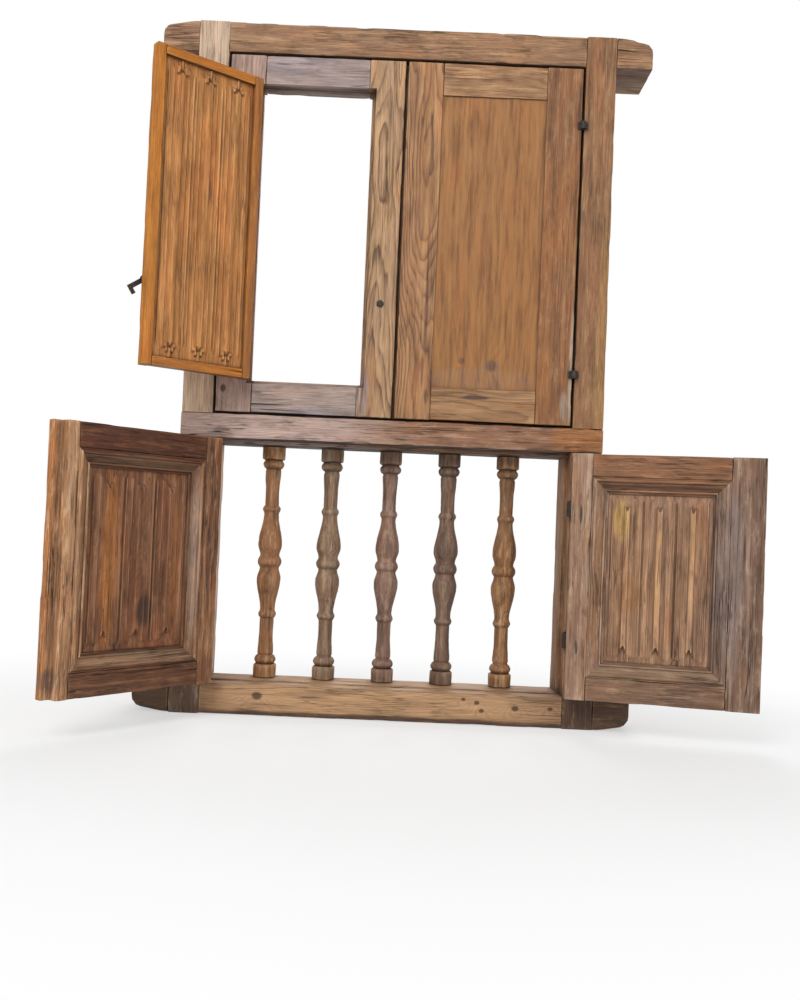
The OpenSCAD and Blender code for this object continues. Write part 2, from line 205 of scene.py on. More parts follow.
def timber(corners, start, end, along, seed, wear=0.0016, radius=0.0022, step=0.0025,
           pitch=0.012, splits=0, shape=None):
    """A shell: a worn timber of that section. along is "x" or "z", and the
    section's points are (x or z, y). splits is the number of open checks."""
    rng = np.random.default_rng(seed)
    ring = rounded(corners, radius, step)
    normal = outward(ring)
    arc = np.concatenate([[0], np.cumsum(np.linalg.norm(np.diff(ring, axis=0), axis=1))])
    sharp = np.array(corners, float)
    near = np.min(np.linalg.norm(ring[:, None] - sharp[None], axis=2), axis=1)
    end_round = 0.0016
    count = max(4, int((end - start) / pitch))
    s = np.concatenate([[start], np.linspace(start + end_round, end - end_round, count), [end]])
    u, v = np.meshgrid(arc, s)
    edge = np.meshgrid(bump(near, 0.007), s)[0]
    depth = 0.00035 * (1 + noise2(u * 22, v * 5, seed + 1))
    depth += 0.00022 * noise2(u * 190, v * 14, seed + 2)
    chips = smooth((noise2(u * 9, v * 26, seed + 3) - 0.1) * 1.5)
    depth += edge * wear * (0.35 + 0.35 * noise2(u * 12, v * 9, seed + 4) + 1.1 * chips)
    for _ in range(splits):
        middle = rng.uniform(0, arc[-1])
        where = rng.uniform(start, end)
        reach = rng.uniform(0.05, 0.22)
        line = middle + 0.004 * noise2(v * 9 + middle * 50, v * 0 + 0.5, seed + 5)
        taper = smooth(1 - np.abs(v - where) / reach)
        depth += rng.uniform(0.0015, 0.004) * taper * np.clip(1 - np.abs(u - line) / 0.0026, 0, 1)
    depth[0] += end_round * 0.8
    depth[-1] += end_round * 0.8
    a = ring[None, :, 0] - normal[None, :, 0] * depth
    b = ring[None, :, 1] - normal[None, :, 1] * depth
    xyz = np.stack([a, b, v] if along == "z" else [v, b, a], -1)
    if shape:
        xyz = shape(xyz)
    return xyz.reshape(-1, 3), tube_faces(len(s), len(ring))


def rectangle(a0, a1, b0, b1):
    return [(a0, b0), (a1, b0), (a1, b1), (a0, b1)]


def cut(obj, boxes):
    """Cuts boxes out of an object; a box is (lowest corner, highest corner)."""
    cutters = []
    for lo, hi in boxes:
        mesh = bpy.data.meshes.new("cutter")
        bm = bmesh.new()
        bmesh.ops.create_cube(bm, size=1)
        for v in bm.verts:
            for k in range(3):
                v.co[k] = (lo[k] + hi[k]) / 2 + v.co[k] * (hi[k] - lo[k])
        bm.to_mesh(mesh)
        bm.free()
        cutter = bpy.data.objects.new("cutter", mesh)
        bpy.context.scene.collection.objects.link(cutter)
        cutters.append(cutter)
        modifier = obj.modifiers.new("cut", "BOOLEAN")
        modifier.operation = "DIFFERENCE"
        modifier.object = cutter
        modifier.solver = "MANIFOLD"
    bpy.context.view_layer.update()
    graph = bpy.context.evaluated_depsgraph_get()
    mesh = bpy.data.meshes.new_from_object(obj.evaluated_get(graph))
    obj.modifiers.clear()
    old = obj.data
    obj.data = mesh
    bpy.data.meshes.remove(old)
    for cutter in cutters:
        bpy.data.objects.remove(cutter)
    finish_mesh(obj.data)
    return obj


def dress(obj, material, body, nodes):
    """Gives a piece its material, hangs it on its body's empty and hides the parts of the frame that it
    stands for.
    """
    obj.data.materials.clear()
    obj.data.materials.append(material)
    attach(obj, body)
    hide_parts(*nodes)
    return obj


# --------------------------------------------------------------- materials

def rgb(red, green, blue):
    """A colour written in the usual 0 to 255 steps, as Blender wants it."""
    return tuple(((c / 255 + 0.055) / 1.055) ** 2.4 if c > 10 else c / 3294
                 for c in (red, green, blue)) + (1.0,)


def scaled(colour, gain):
    """A colour made lighter or darker, channel by channel."""
    return tuple(min(1.0, c * g) for c, g in zip(colour, gain)) + (1.0,)


class Nodes:
    """Short calls that build a material's nodes."""

    def __init__(self, name):
        self.material = bpy.data.materials.new(name)
        self.material.use_nodes = True
        self.tree = self.material.node_tree
        self.tree.nodes.clear()

    def add(self, kind, **settings):
        node = self.tree.nodes.new("ShaderNode" + kind)
        for key, value in settings.items():
            setattr(node, key, value)
        return node

    def feed(self, socket, value):
        if isinstance(value, bpy.types.NodeSocket):
            self.tree.links.new(value, socket)
        else:
            socket.default_value = value

    def math(self, operation, *values, clamp=False):
        node = self.add("Math", operation=operation, use_clamp=clamp)
        for socket, value in zip(node.inputs, values):
            self.feed(socket, value)
        return node.outputs[0]

    def stretch(self, vector, scale, offset=(0, 0, 0)):
        node = self.add("VectorMath", operation="MULTIPLY_ADD")
        self.feed(node.inputs[0], vector)
        self.feed(node.inputs[1], scale)
        self.feed(node.inputs[2], offset)
        return node.outputs[0]

    def noise(self, vector, detail=3.0, rough=0.55):
        node = self.add("TexNoise")
        self.feed(node.inputs["Vector"], vector)
        self.feed(node.inputs["Scale"], 1.0)
        self.feed(node.inputs["Detail"], detail)
        self.feed(node.inputs["Roughness"], rough)
        return node.outputs[0]

    def span(self, value, low, high, out_low=0.0, out_high=1.0):
        node = self.add("MapRange", interpolation_type="SMOOTHSTEP")
        for socket, item in zip(node.inputs, (value, low, high, out_low, out_high)):
            self.feed(socket, item)
        return node.outputs[0]

    def mix(self, share, first, second, blend="MIX"):
        node = self.add("Mix", data_type="RGBA", blend_type=blend)
        self.feed(node.inputs[0], share)
        self.feed(node.inputs[6], first)
        self.feed(node.inputs[7], second)
        return node.outputs[2]

    def grey(self, value):
        node = self.add("CombineColor")
        for socket in node.inputs:
            self.feed(socket, value)
        return node.outputs[0]

    def ramp(self, value, stops):
        node = self.add("ValToRGB")
        ramp = node.color_ramp
        while len(ramp.elements) < len(stops):
            ramp.elements.new(0.5)
        for element, (place, level) in zip(ramp.elements, stops):
            element.position = place
            element.color = (level, level, level, 1)
        self.feed(node.inputs[0], value)
        return node.outputs[0]

    def finish(self, colour, rough, height, depth, metallic=0.0):
        shader = self.add("BsdfPrincipled")
        self.feed(shader.inputs["Base Color"], colour)
        self.feed(shader.inputs["Roughness"], rough)
        shader.inputs["Metallic"].default_value = metallic
        relief = self.add("Bump")
        relief.inputs["Strength"].default_value = 1.0
        relief.inputs["Distance"].default_value = depth
        self.feed(relief.inputs["Height"], height)
        self.tree.links.new(relief.outputs[0], shader.inputs["Normal"])
        output = self.add("OutputMaterial")
        self.tree.links.new(shader.outputs[0], output.inputs[0])
        return self.material


# Dark brown used for dirt in hollows and for painted shade in hollows and on undersides.
GRIME_AND_SHADE = rgb(44, 30, 22)
CRACK = rgb(30, 20, 15)
KNOT = rgb(62, 38, 24)


def wood(name, mid, late, worn, stain, along="z", seed=1, ring=0.0052, heart=(0.0, 0.07),
         flare=0.05, bold=0.55, stained=0.5, cracked=0.5, edge=0.45, grime=0.6,
         sheen=0.0, scuffed=0.4, streaky=0.75, warm=0.4, underside_shade=0.6, gain=(1, 1, 1), knots=(),
         patches=()):
    """Old timber. mid, late, worn and stain are its colours; ring is the width
    of a year's ring, heart the tree's heart in the section, and flare makes
    the rings run out in arches. knots are (across, along, radius), and patches
    are (across, along, half width, half length, colour, share)."""
    mid, late, worn, stain = (scaled(tone, gain) for tone in (mid, late, worn, stain))
    dark = scaled(late, (0.72, 0.62, 0.54))
    n = Nodes(name)
    place = n.add("TexCoord").outputs["Object"]
    parts = n.add("SeparateXYZ")
    n.feed(parts.inputs[0], place)
    across, s = (parts.outputs[0], parts.outputs[2])
    if along == "x":
        across, s = s, across
    depth = parts.outputs[1]
    grain = n.add("CombineXYZ")
    for socket, value in zip(grain.inputs, (across, depth, s)):
        n.feed(socket, value)
    grain = grain.outputs[0]
    shift = (seed * 3.17, seed * 1.31, seed * 0.73)

    slow = n.math("SUBTRACT", n.noise(n.stretch(grain, (7, 7, 1.6), shift), 2.0), 0.5)
    quick = n.math("SUBTRACT", n.noise(n.stretch(grain, (34, 34, 6), shift), 2.0), 0.5)
    streak = n.noise(n.stretch(grain, (95, 95, 2.4), shift), 4.0, 0.6)
    fibre = n.noise(n.stretch(grain, (620, 620, 16), shift), 3.0, 0.65)
    blotch = n.noise(n.stretch(grain, (9, 9, 2.6), shift), 5.0, 0.62)
    fleck = n.noise(n.stretch(grain, (52, 52, 6), shift), 4.0, 0.65)
    scuff = n.noise(n.stretch(grain, (74, 74, 15), shift), 5.0, 0.72)
    ragged = n.math("MULTIPLY", n.math("SUBTRACT", fleck, 0.5), 0.9)

    knot_mask = None
    swerve = 0.0
    for knot_a, knot_s, knot_r in knots:
        da = n.math("SUBTRACT", across, knot_a)
        ds = n.math("MULTIPLY", n.math("SUBTRACT", s, knot_s), 0.75)
        far = n.math("SQRT", n.math("ADD", n.math("MULTIPLY", da, da),
                                    n.math("MULTIPLY", ds, ds)))
        bend = n.span(far, 0.0, knot_r * 4.5, knot_r * 1.6, 0.0)
        swerve = n.math("ADD", swerve, bend)
        wobbly = n.math("ADD", far, n.math("MULTIPLY", ragged, knot_r * 0.5))
        mask = n.span(wobbly, knot_r * 0.55, knot_r * 1.1, 1.0, 0.0)
        knot_mask = mask if knot_mask is None else n.math("MAXIMUM", knot_mask, mask)

    ra = n.math("SUBTRACT", across, heart[0])
    rb = n.math("SUBTRACT", depth, heart[1])
    radius = n.math("SQRT", n.math("ADD", n.math("MULTIPLY", ra, ra),
                                   n.math("MULTIPLY", rb, rb)))
    field = n.math("ADD", radius, n.math("MULTIPLY", slow, 0.085))
    field = n.math("ADD", field, n.math("MULTIPLY", quick, 0.012))
    field = n.math("ADD", field, n.math("MULTIPLY", s, flare))
    field = n.math("ADD", field, swerve)
    year = n.math("FRACT", n.math("DIVIDE", field, ring))
    late_wood = n.ramp(year, [(0.0, 0.75), (0.10, 0.08), (0.45, 0.14), (0.80, 0.62), (0.94, 1.0)])

    crack_field = n.noise(n.stretch(grain, (70, 70, 1.9), shift), 2.0, 0.5)
    crack_off = n.math("ABSOLUTE", n.math("SUBTRACT", crack_field, 0.5))
    crack_where = n.span(n.noise(n.stretch(grain, (14, 14, 3.4), shift), 2.0), 0.48, 0.58)
    crack = n.math("MULTIPLY", n.span(crack_off, 0.003, 0.020, 1.0, 0.0), crack_where)
    fine_field = n.noise(n.stretch(grain, (190, 190, 8), shift), 2.0, 0.5)
    fine_off = n.math("ABSOLUTE", n.math("SUBTRACT", fine_field, 0.5))
    fine_where = n.span(n.noise(n.stretch(grain, (24, 24, 9), shift), 3.0), 0.50, 0.62)
    fine = n.math("MULTIPLY", n.span(fine_off, 0.01, 0.05, 0.7, 0.0), fine_where)
    crack = n.math("MAXIMUM", crack, fine)
    crack = n.math("MULTIPLY", crack, cracked)

    colour = n.mix(n.math("MULTIPLY", late_wood, bold), mid, late)
    hue = n.noise(n.stretch(grain, (26, 26, 5), shift), 3.0, 0.6)
    colour = n.mix(n.span(hue, 0.52, 0.64, 0.0, warm), colour, scaled(mid, (1.16, 0.86, 0.60)))
    colour = n.mix(n.span(hue, 0.46, 0.36, 0.0, warm), colour, scaled(mid, (0.92, 0.98, 1.14)))
    colour = n.mix(n.span(streak, 0.50, 0.68, 0.0, 0.70 * streaky), colour, worn)
    colour = n.mix(n.span(streak, 0.48, 0.32, 0.0, 0.65 * streaky), colour, late)
    colour = n.mix(n.span(blotch, 0.44, 0.64, 0.0, stained), colour, stain)
    for pa, ps, wide, long, tint, share in patches:
        da = n.math("DIVIDE", n.math("SUBTRACT", across, pa), wide)
        ds = n.math("DIVIDE", n.math("SUBTRACT", s, ps), long)
        far = n.math("SQRT", n.math("ADD", n.math("MULTIPLY", da, da),
                                    n.math("MULTIPLY", ds, ds)))
        far = n.math("ADD", far, n.math("MULTIPLY", ragged, 1.3))
        tinted = n.mix(n.math("MULTIPLY", late_wood, bold * 0.6), tint, late)
        colour = n.mix(n.span(far, 0.6, 1.15, share, 0.0), colour, tinted)
    colour = n.mix(n.span(scuff, 0.53, 0.63, 0.0, scuffed), colour, worn)
    colour = n.mix(n.span(scuff, 0.46, 0.36, 0.0, scuffed), colour, dark)
    colour = n.mix(1.0, colour, n.grey(n.span(fibre, 0.2, 0.8, 0.74, 1.26)), "MULTIPLY")
    colour = n.mix(1.0, colour, n.grey(n.span(fleck, 0.28, 0.72, 0.80, 1.19)), "MULTIPLY")
    if knot_mask is not None:
        colour = n.mix(n.math("MULTIPLY", knot_mask, 0.85), colour, KNOT)
    shape = n.add("NewGeometry")
    facing = n.add("SeparateXYZ")
    n.feed(facing.inputs[0], shape.outputs["Normal"])
    # Faces that point down are painted darker: painted shade on undersides, where less light falls.
    colour = n.mix(n.span(facing.outputs[2], -0.2, -0.85, 0.0, underside_shade), colour, GRIME_AND_SHADE)
    ridge = shape.outputs["Pointiness"]
    rubbed = n.math("MULTIPLY", n.span(ridge, 0.51, 0.58), n.span(fleck, 0.36, 0.58))
    colour = n.mix(n.math("MULTIPLY", rubbed, edge), colour, worn)
    # Hollows found by occlusion are darkened: partly dirt, partly painted shade in recesses where less
    # light reaches.
    hollow = n.add("AmbientOcclusion", samples=4)
    hollow.inputs["Distance"].default_value = 0.022
    hollow_darkening = n.span(hollow.outputs["AO"], 0.92, 0.35, 0.0, grime)
    colour = n.mix(hollow_darkening, colour, GRIME_AND_SHADE)
    colour = n.mix(crack, colour, CRACK)

    rough = n.span(fleck, 0.3, 0.7, 0.74 - 0.25 * sheen, 0.56 - 0.25 * sheen)
    height = n.math("ADD", n.math("MULTIPLY", fibre, 0.35), n.math("MULTIPLY", streak, 0.45))
    height = n.math("ADD", height, n.math("MULTIPLY", late_wood, 0.22 * bold))
    height = n.math("SUBTRACT", height, n.math("MULTIPLY", crack, 1.2))
    return n.finish(colour, rough, height, 0.0011)


def iron(name):
    """Forged iron, dull and almost black, with a little brown rust."""
    n = Nodes(name)
    place = n.add("TexCoord").outputs["Object"]
    pits = n.noise(n.stretch(place, (260, 260, 260)), 5.0, 0.6)
    rust = n.noise(n.stretch(place, (60, 60, 60)), 4.0, 0.6)
    colour = n.mix(n.span(rust, 0.45, 0.65, 0.0, 0.7), rgb(58, 56, 54), rgb(88, 62, 46))
    colour = n.mix(n.span(pits, 0.35, 0.6, 0.5, 0.0), colour, rgb(28, 27, 27))
    return n.finish(colour, n.span(pits, 0.3, 0.7, 0.75, 0.5), pits, 0.0008, 0.35)


# ------------------------------------------------------------------ frame

HORN_RISE = 0.010
HORN_R = 0.024


def horn_shape(xyz):
    """Raises the underside of a beam's horns and rounds their ends."""
    reach = np.abs(xyz[..., 0])
    rise = HORN_RISE * smooth((reach - OUTER) / (BEAM - OUTER))
    into = np.clip(reach - (BEAM - HORN_R), 0, HORN_R)
    rise = rise + HORN_R - np.sqrt(np.maximum(HORN_R ** 2 - into ** 2, 0))
    z = xyz[..., 2]
    share = np.clip(1 - z / SILL_TOP, 0, 1)
    out = xyz.copy()
    out[..., 2] = z + rise * share
    return out


def horned_beam(name, lip, seed, to_world):
    """The sill, or the head when to_world turns it over."""
    section = [(0, ROOM), (SILL_TOP, ROOM), (SILL_TOP, STOP_Y), (SILL_TOP + lip, STOP_Y),
               (SILL_TOP + lip, STREET), (0, STREET)]
    verts, faces = timber(section, -BEAM, BEAM, "x", seed, wear=0.003, radius=0.003,
                          pitch=0.009, splits=9, shape=horn_shape)
    obj = shells_object(name, [(verts, faces)])
    boxes = []
    for side in (-1, 1):
        inner, outer, end = sorted((side * CLEAR, side * OUTER)) + [side * FAR]
        boxes.append(((inner, -FAR, -FAR), (outer, 0, FAR)))
        low, high = sorted((side * CLEAR, end))
        boxes.append(((low, -FAR, SILL_TOP), (high, FAR, FAR)))
    cut(obj, boxes)
    obj.data.transform(to_world)
    finish_mesh(obj.data)
    return obj


def jamb(name, seed, mirror):
    section = [(CLEAR, ROOM), (OUTER, ROOM), (OUTER, STREET), (CLEAR - STOP_LIP, STREET),
               (CLEAR - STOP_LIP, STOP_Y), (CLEAR, STOP_Y)]
    shell = timber(section, 0, TOP, "z", seed, wear=0.0022, splits=7)
    obj = shells_object(name, [shell])
    cut(obj, [
        ((-FAR, 0, -FAR), (FAR, FAR, SILL_TOP)),
        ((-FAR, 0, HEAD_Z), (FAR, FAR, FAR)),
        ((-FAR, STOP_Y, -FAR), (CLEAR, FAR, SILL_TOP + SILL_LIP)),
        ((-FAR, STOP_Y, HEAD_Z - STOP_LIP), (CLEAR, FAR, FAR)),
        ((-FAR, -FAR, TRANSOM_Z), (FAR, 0, UPPER_Z)),
        ((-FAR, STOP_Y, TRANSOM_Z - STOP_LIP), (CLEAR, FAR, UPPER_Z + STOP_LIP)),
    ])
    if mirror:
        obj.data.transform(Matrix.Scale(-1, 4, (1, 0, 0)))
        finish_mesh(obj.data)
    return obj


def transom(name, seed):
    section = [(TRANSOM_Z, ROOM), (UPPER_Z, ROOM), (UPPER_Z, STOP_Y),
               (UPPER_Z + STOP_LIP, STOP_Y), (UPPER_Z + STOP_LIP, STREET),
               (TRANSOM_Z - STOP_LIP, STREET), (TRANSOM_Z - STOP_LIP, STOP_Y),
               (TRANSOM_Z, STOP_Y)]
    shell = timber(section, -OUTER, OUTER, "x", seed, wear=0.0026, pitch=0.008, splits=16)
    obj = shells_object(name, [shell])
    boxes = []
    for side in (-1, 1):
        low, high = sorted((side * CLEAR, side * FAR))
        boxes.append(((low, 0, -FAR), (high, FAR, FAR)))
        boxes.append(((low, -FAR, UPPER_Z), (high, FAR, FAR)))
        boxes.append(((low, -FAR, -FAR), (high, FAR, TRANSOM_Z)))
    return cut(obj, boxes)


# -------------------------------------------------------------- balusters

BLOCK_H = 0.033
BLOCK_W = 0.058
BELLY_R = 0.0315
SHAFT_R = 0.018


def turned_radius(t):
    """Radius of a baluster's turning; t is 0 at a block and 1 at the waist."""
    r = np.full_like(t, SHAFT_R)
    r = np.where(t < 0.09, 0.022 + 0.0062 * np.sin(math.pi * np.clip(t / 0.09, 0, 1)), r)
    taper = smooth((t - 0.11) / 0.2)
    r = np.where((t >= 0.09) & (t < 0.45), 0.0210 - 0.0028 * taper, r)
    r = np.where((t >= 0.09) & (t < 0.105), 0.0195, r)
    r = np.where((t >= 0.45) & (t < 0.53),
                 0.0197 + 0.0037 * np.sin(math.pi * np.clip((t - 0.455) / 0.065, 0, 1)), r)
    belly = 0.0193 + (BELLY_R - 0.0193) * smooth((t - 0.53) / 0.3)
    r = np.where((t >= 0.53) & (t < 0.84), belly, r)
    shoulder = BELLY_R - 0.0063 * smooth((t - 0.84) / 0.1)
    r = np.where((t >= 0.84) & (t < 0.95), shoulder, r)
    waist = 0.0262 + 0.0050 * np.sin(math.pi * np.clip((t - 0.95) / 0.1, 0, 1))
    return np.where(t >= 0.95, waist, r)


def baluster(name, lo, hi, seed):
    """One turned baluster, a little different from the others."""
    rng = np.random.default_rng(seed)
    height = hi.z - lo.z
    centre = (lo + hi) / 2
    around = 52
    turned_h = height - 2 * BLOCK_H
    block = np.array([0, 0.0016, 0.010, 0.020, BLOCK_H - 0.003, BLOCK_H])
    middle = np.linspace(BLOCK_H + 0.0006, height - BLOCK_H - 0.0006, 176)
    z = np.concatenate([block, middle, height - block[::-1]])
    angle = np.linspace(0, 2 * math.pi, around, endpoint=False)
    t = (z - BLOCK_H) / (turned_h / 2)
    t = np.where(t > 1, 2 - t, t)
    radius = turned_radius(np.clip(t + 0.006 * rng.normal(size=3).sum() / 3, 0, 1))
    radius = np.repeat(radius[:, None], around, 1)
    in_block = (z <= BLOCK_H) | (z >= height - BLOCK_H)
    facet = math.pi / 4
    side = BLOCK_W / 2 / np.cos((angle + facet / 2) % facet - facet / 2)
    ease = np.clip(np.minimum(z, height - z) / 0.0016, 0, 1)
    tip = np.clip((BLOCK_H - np.minimum(z, height - z)) / 0.003, 0, 1)
    square = side[None] - 0.0016 * (1 - ease)[:, None] - 0.003 * (1 - tip)[:, None]
    radius = np.where(in_block[:, None], square, radius)
    u, v = np.meshgrid(angle / math.pi * 4, z)
    worn = 0.0007 * (1 + noise2(u * 1.5, v * 30, seed)) + 0.0003 * noise2(u * 6, v * 160, seed + 1)
    for _ in range(3):
        crack = rng.uniform(0, 8)
        where = rng.uniform(0.08, height - 0.08)
        near = np.abs((u - crack + 4) % 8 - 4)
        worn += 0.0022 * np.clip(1 - near / 0.22, 0, 1) * smooth(1 - np.abs(v - where) / 0.11)
    radius = radius - worn
    oval = 1 - 0.02 * np.abs(np.cos(angle + rng.uniform(0, 3)))[None]
    x = centre.x + radius * oval * np.cos(angle)[None]
    y = centre.y + radius * np.sin(angle)[None]
    verts = np.stack([x, y, lo.z + v], -1).reshape(-1, 3)
    return shells_object(name, [(verts, tube_faces(len(z), around))])


# ---------------------------------------------------------- carved panels

def fold_profile(u):
    """Height of one linen fold across it; u is -1 to 1, the result 0 to 1."""
    w = np.abs(u)
    height = 0.22 + 0.78 * smooth((0.24 - w) / 0.10)
    height += 0.34 * bump(w - 0.56, 0.045) + 0.30 * bump(w - 0.93, 0.045)
    height += 0.10 * smooth((0.56 - w) / 0.02)
    return height * smooth((1 - w) / 0.04)


def tassel_height(u, end, fold_w):
    """Height of the flower and its stem at the foot of a fold, 0 to 1."""
    across = u * 0.5 * fold_w
    height = 0.8 * bump(across, 0.0034) * smooth((0.30 * fold_w - end) / 0.004)
    for petal_x, petal_z, size in ((0, 0.42, 0.10), (0.15, 0.32, 0.095), (-0.15, 0.32, 0.095),
                                   (0.10, 0.19, 0.070), (-0.10, 0.19, 0.070)):
        far = np.hypot(across - petal_x * fold_w, (end - petal_z * fold_w) * 0.8)
        height = np.maximum(height, smooth((size * fold_w - far) / (0.05 * fold_w)))
    return height


def linen_height(x, z, w, h, folds, rise, tassel):
    """Height of a linenfold panel's carving at (x, z)."""
    margin = 0.03 * w
    fold_w = (w - 2 * margin) / folds
    place = (x - margin) / fold_w
    u = np.clip((place - np.floor(place) - 0.5) / 0.48, -1, 1)
    inside = (place > 0) & (place < folds)
    end = np.minimum(z, h - z) - 0.02 * w
    arch = np.exp(-(np.abs(u) / 0.34) ** 1.2)
    hem = fold_w * (0.04 + 0.40 * arch + 0.10 * bump(np.abs(u) - 0.85, 0.2))
    if tassel:
        hem = fold_w * (0.34 - 0.10 * bump(np.abs(u) - 0.6, 0.2))
    shown = smooth((end - hem) / 0.003)
    height = np.where(inside, rise * fold_profile(u) * shown, 0.0)
    lip = 0.30 * rise * bump(end - hem, 0.0032) * inside
    height = np.maximum(height, lip)
    if tassel:
        bloom = rise * tassel_height(u, end, fold_w) * (z < h)
        height = np.maximum(height, np.where(inside, bloom, 0.0))
    return height


def carved_shell(w, h, back, field, rise, seed, x0, y0, z0, folds=3, tassel=False):
    """A shell: a panel carved on its +y face, w by h, with its tongue hidden
    in the members round it."""
    nx = int((w + 2 * TONGUE) / 0.00165)
    nz = int((h + 2 * TONGUE) / 0.0048)
    x = np.linspace(-TONGUE, w + TONGUE, nx)
    z = np.linspace(-TONGUE, h + TONGUE, nz)
    gx, gz = np.meshgrid(x, z)
    y = field + linen_height(gx, gz, w, h, folds, rise, tassel)
    y = y + 0.0004 * noise2(gx * 60, gz * 11, seed) + 0.0002 * noise2(gx * 300, gz * 20, seed + 1)
    hidden = (gx < 0) | (gx > w) | (gz < 0) | (gz > h)
    y = np.where(hidden, back + 0.009, y)
    front = np.stack([gx + x0, y + y0, gz + z0], -1).reshape(-1, 3)
    rear = front.copy()
    rear[:, 1] = back + y0 + 0.0003 * noise2(front[:, 0] * 40, front[:, 2] * 8, seed + 2)
    verts = np.concatenate([front, rear])
    shift = nx * nz
    faces = []
    for i in range(nz - 1):
        for j in range(nx - 1):
            a = i * nx + j
            faces.append((a, a + 1, a + nx + 1, a + nx))
    rim = ([j for j in range(nx)] + [i * nx + nx - 1 for i in range(1, nz)]
           + [(nz - 1) * nx + j for j in range(nx - 2, -1, -1)]
           + [i * nx for i in range(nz - 2, 0, -1)])
    for a, b in zip(rim, rim[1:] + rim[:1]):
        faces.append((a, b, b + shift, a + shift))
    faces.append(tuple(i + shift for i in rim))
    used = sorted({i for f in faces for i in f})
    renumber = {old: new for new, old in enumerate(used)}
    return verts[used], [tuple(renumber[i] for i in f) for f in faces]


# --------------------------------------------------------------- shutters

def moulding_height(m):
    """Height of the shutter's moulding above the back; m runs inwards."""
    bead = 0.0425 + 0.0035 * np.sqrt(np.maximum(1 - ((m - 0.007) / 0.0045) ** 2, 0))
    slope = 0.0415 - 0.0095 * smooth((m - 0.0125) / 0.016)
    fillet = 0.0350 * np.ones_like(m)
    y = np.where(m < 0.0025, 0.0438, bead)
    y = np.where(m > 0.0115, slope, y)
    y = np.where(m > 0.0285, 0.0345, y)
    y = np.where(m > 0.0325, 0.0292, y)
    return np.minimum(y, np.maximum(fillet + 0.02, y))


def moulding_shell(origin, inward, along, length, seed):
    """A shell: one mitred length of the moulding, seen from its +y face."""
    m = np.array([0, 0.0003, 0.0024, 0.0027, 0.004, 0.0055, 0.007, 0.0085, 0.010, 0.0113,
                  0.0117, 0.014, 0.017, 0.020, 0.023, 0.026, 0.0283, 0.0287, 0.0305, 0.0323,
                  0.0327, 0.035, MOULDING_W - 0.0004, MOULDING_W])
    top = moulding_height(m)
    ring_m = np.concatenate([m, [MOULDING_W, 0.0]])
    ring_y = np.concatenate([top, [0.0, 0.0]])
    count = max(6, int(length / 0.010))
    t = np.linspace(0, 1, count)
    gm, gt = np.meshgrid(ring_m, t)
    s = gm + gt * (length - 2 * gm)
    y = np.repeat(ring_y[None], count, 0)
    worn = 0.0005 * (1 + noise2(gm * 160, s * 9, seed)) + 0.0007 * smooth(
        noise2(gm * 90, s * 28, seed + 1) * 2 - 0.6)
    y = np.where(y > 0.01, y - worn, y)
    xyz = (np.array(origin)[None, None] + gm[..., None] * np.array(inward)[None, None]
           + s[..., None] * np.array(along)[None, None] + y[..., None] * np.array([0, 1.0, 0]))
    return xyz.reshape(-1, 3), tube_faces(count, len(ring_m))


def hung_matrix(joint, open_angle, z):
    """Place of a part that is drawn shut, with its hinge axis at x = y = 0."""
    pos = joint["pos_m"]
    return (Matrix.Translation((pos[0], pos[1], z))
            @ Matrix.Rotation(math.radians(open_angle), 4, "Z"))


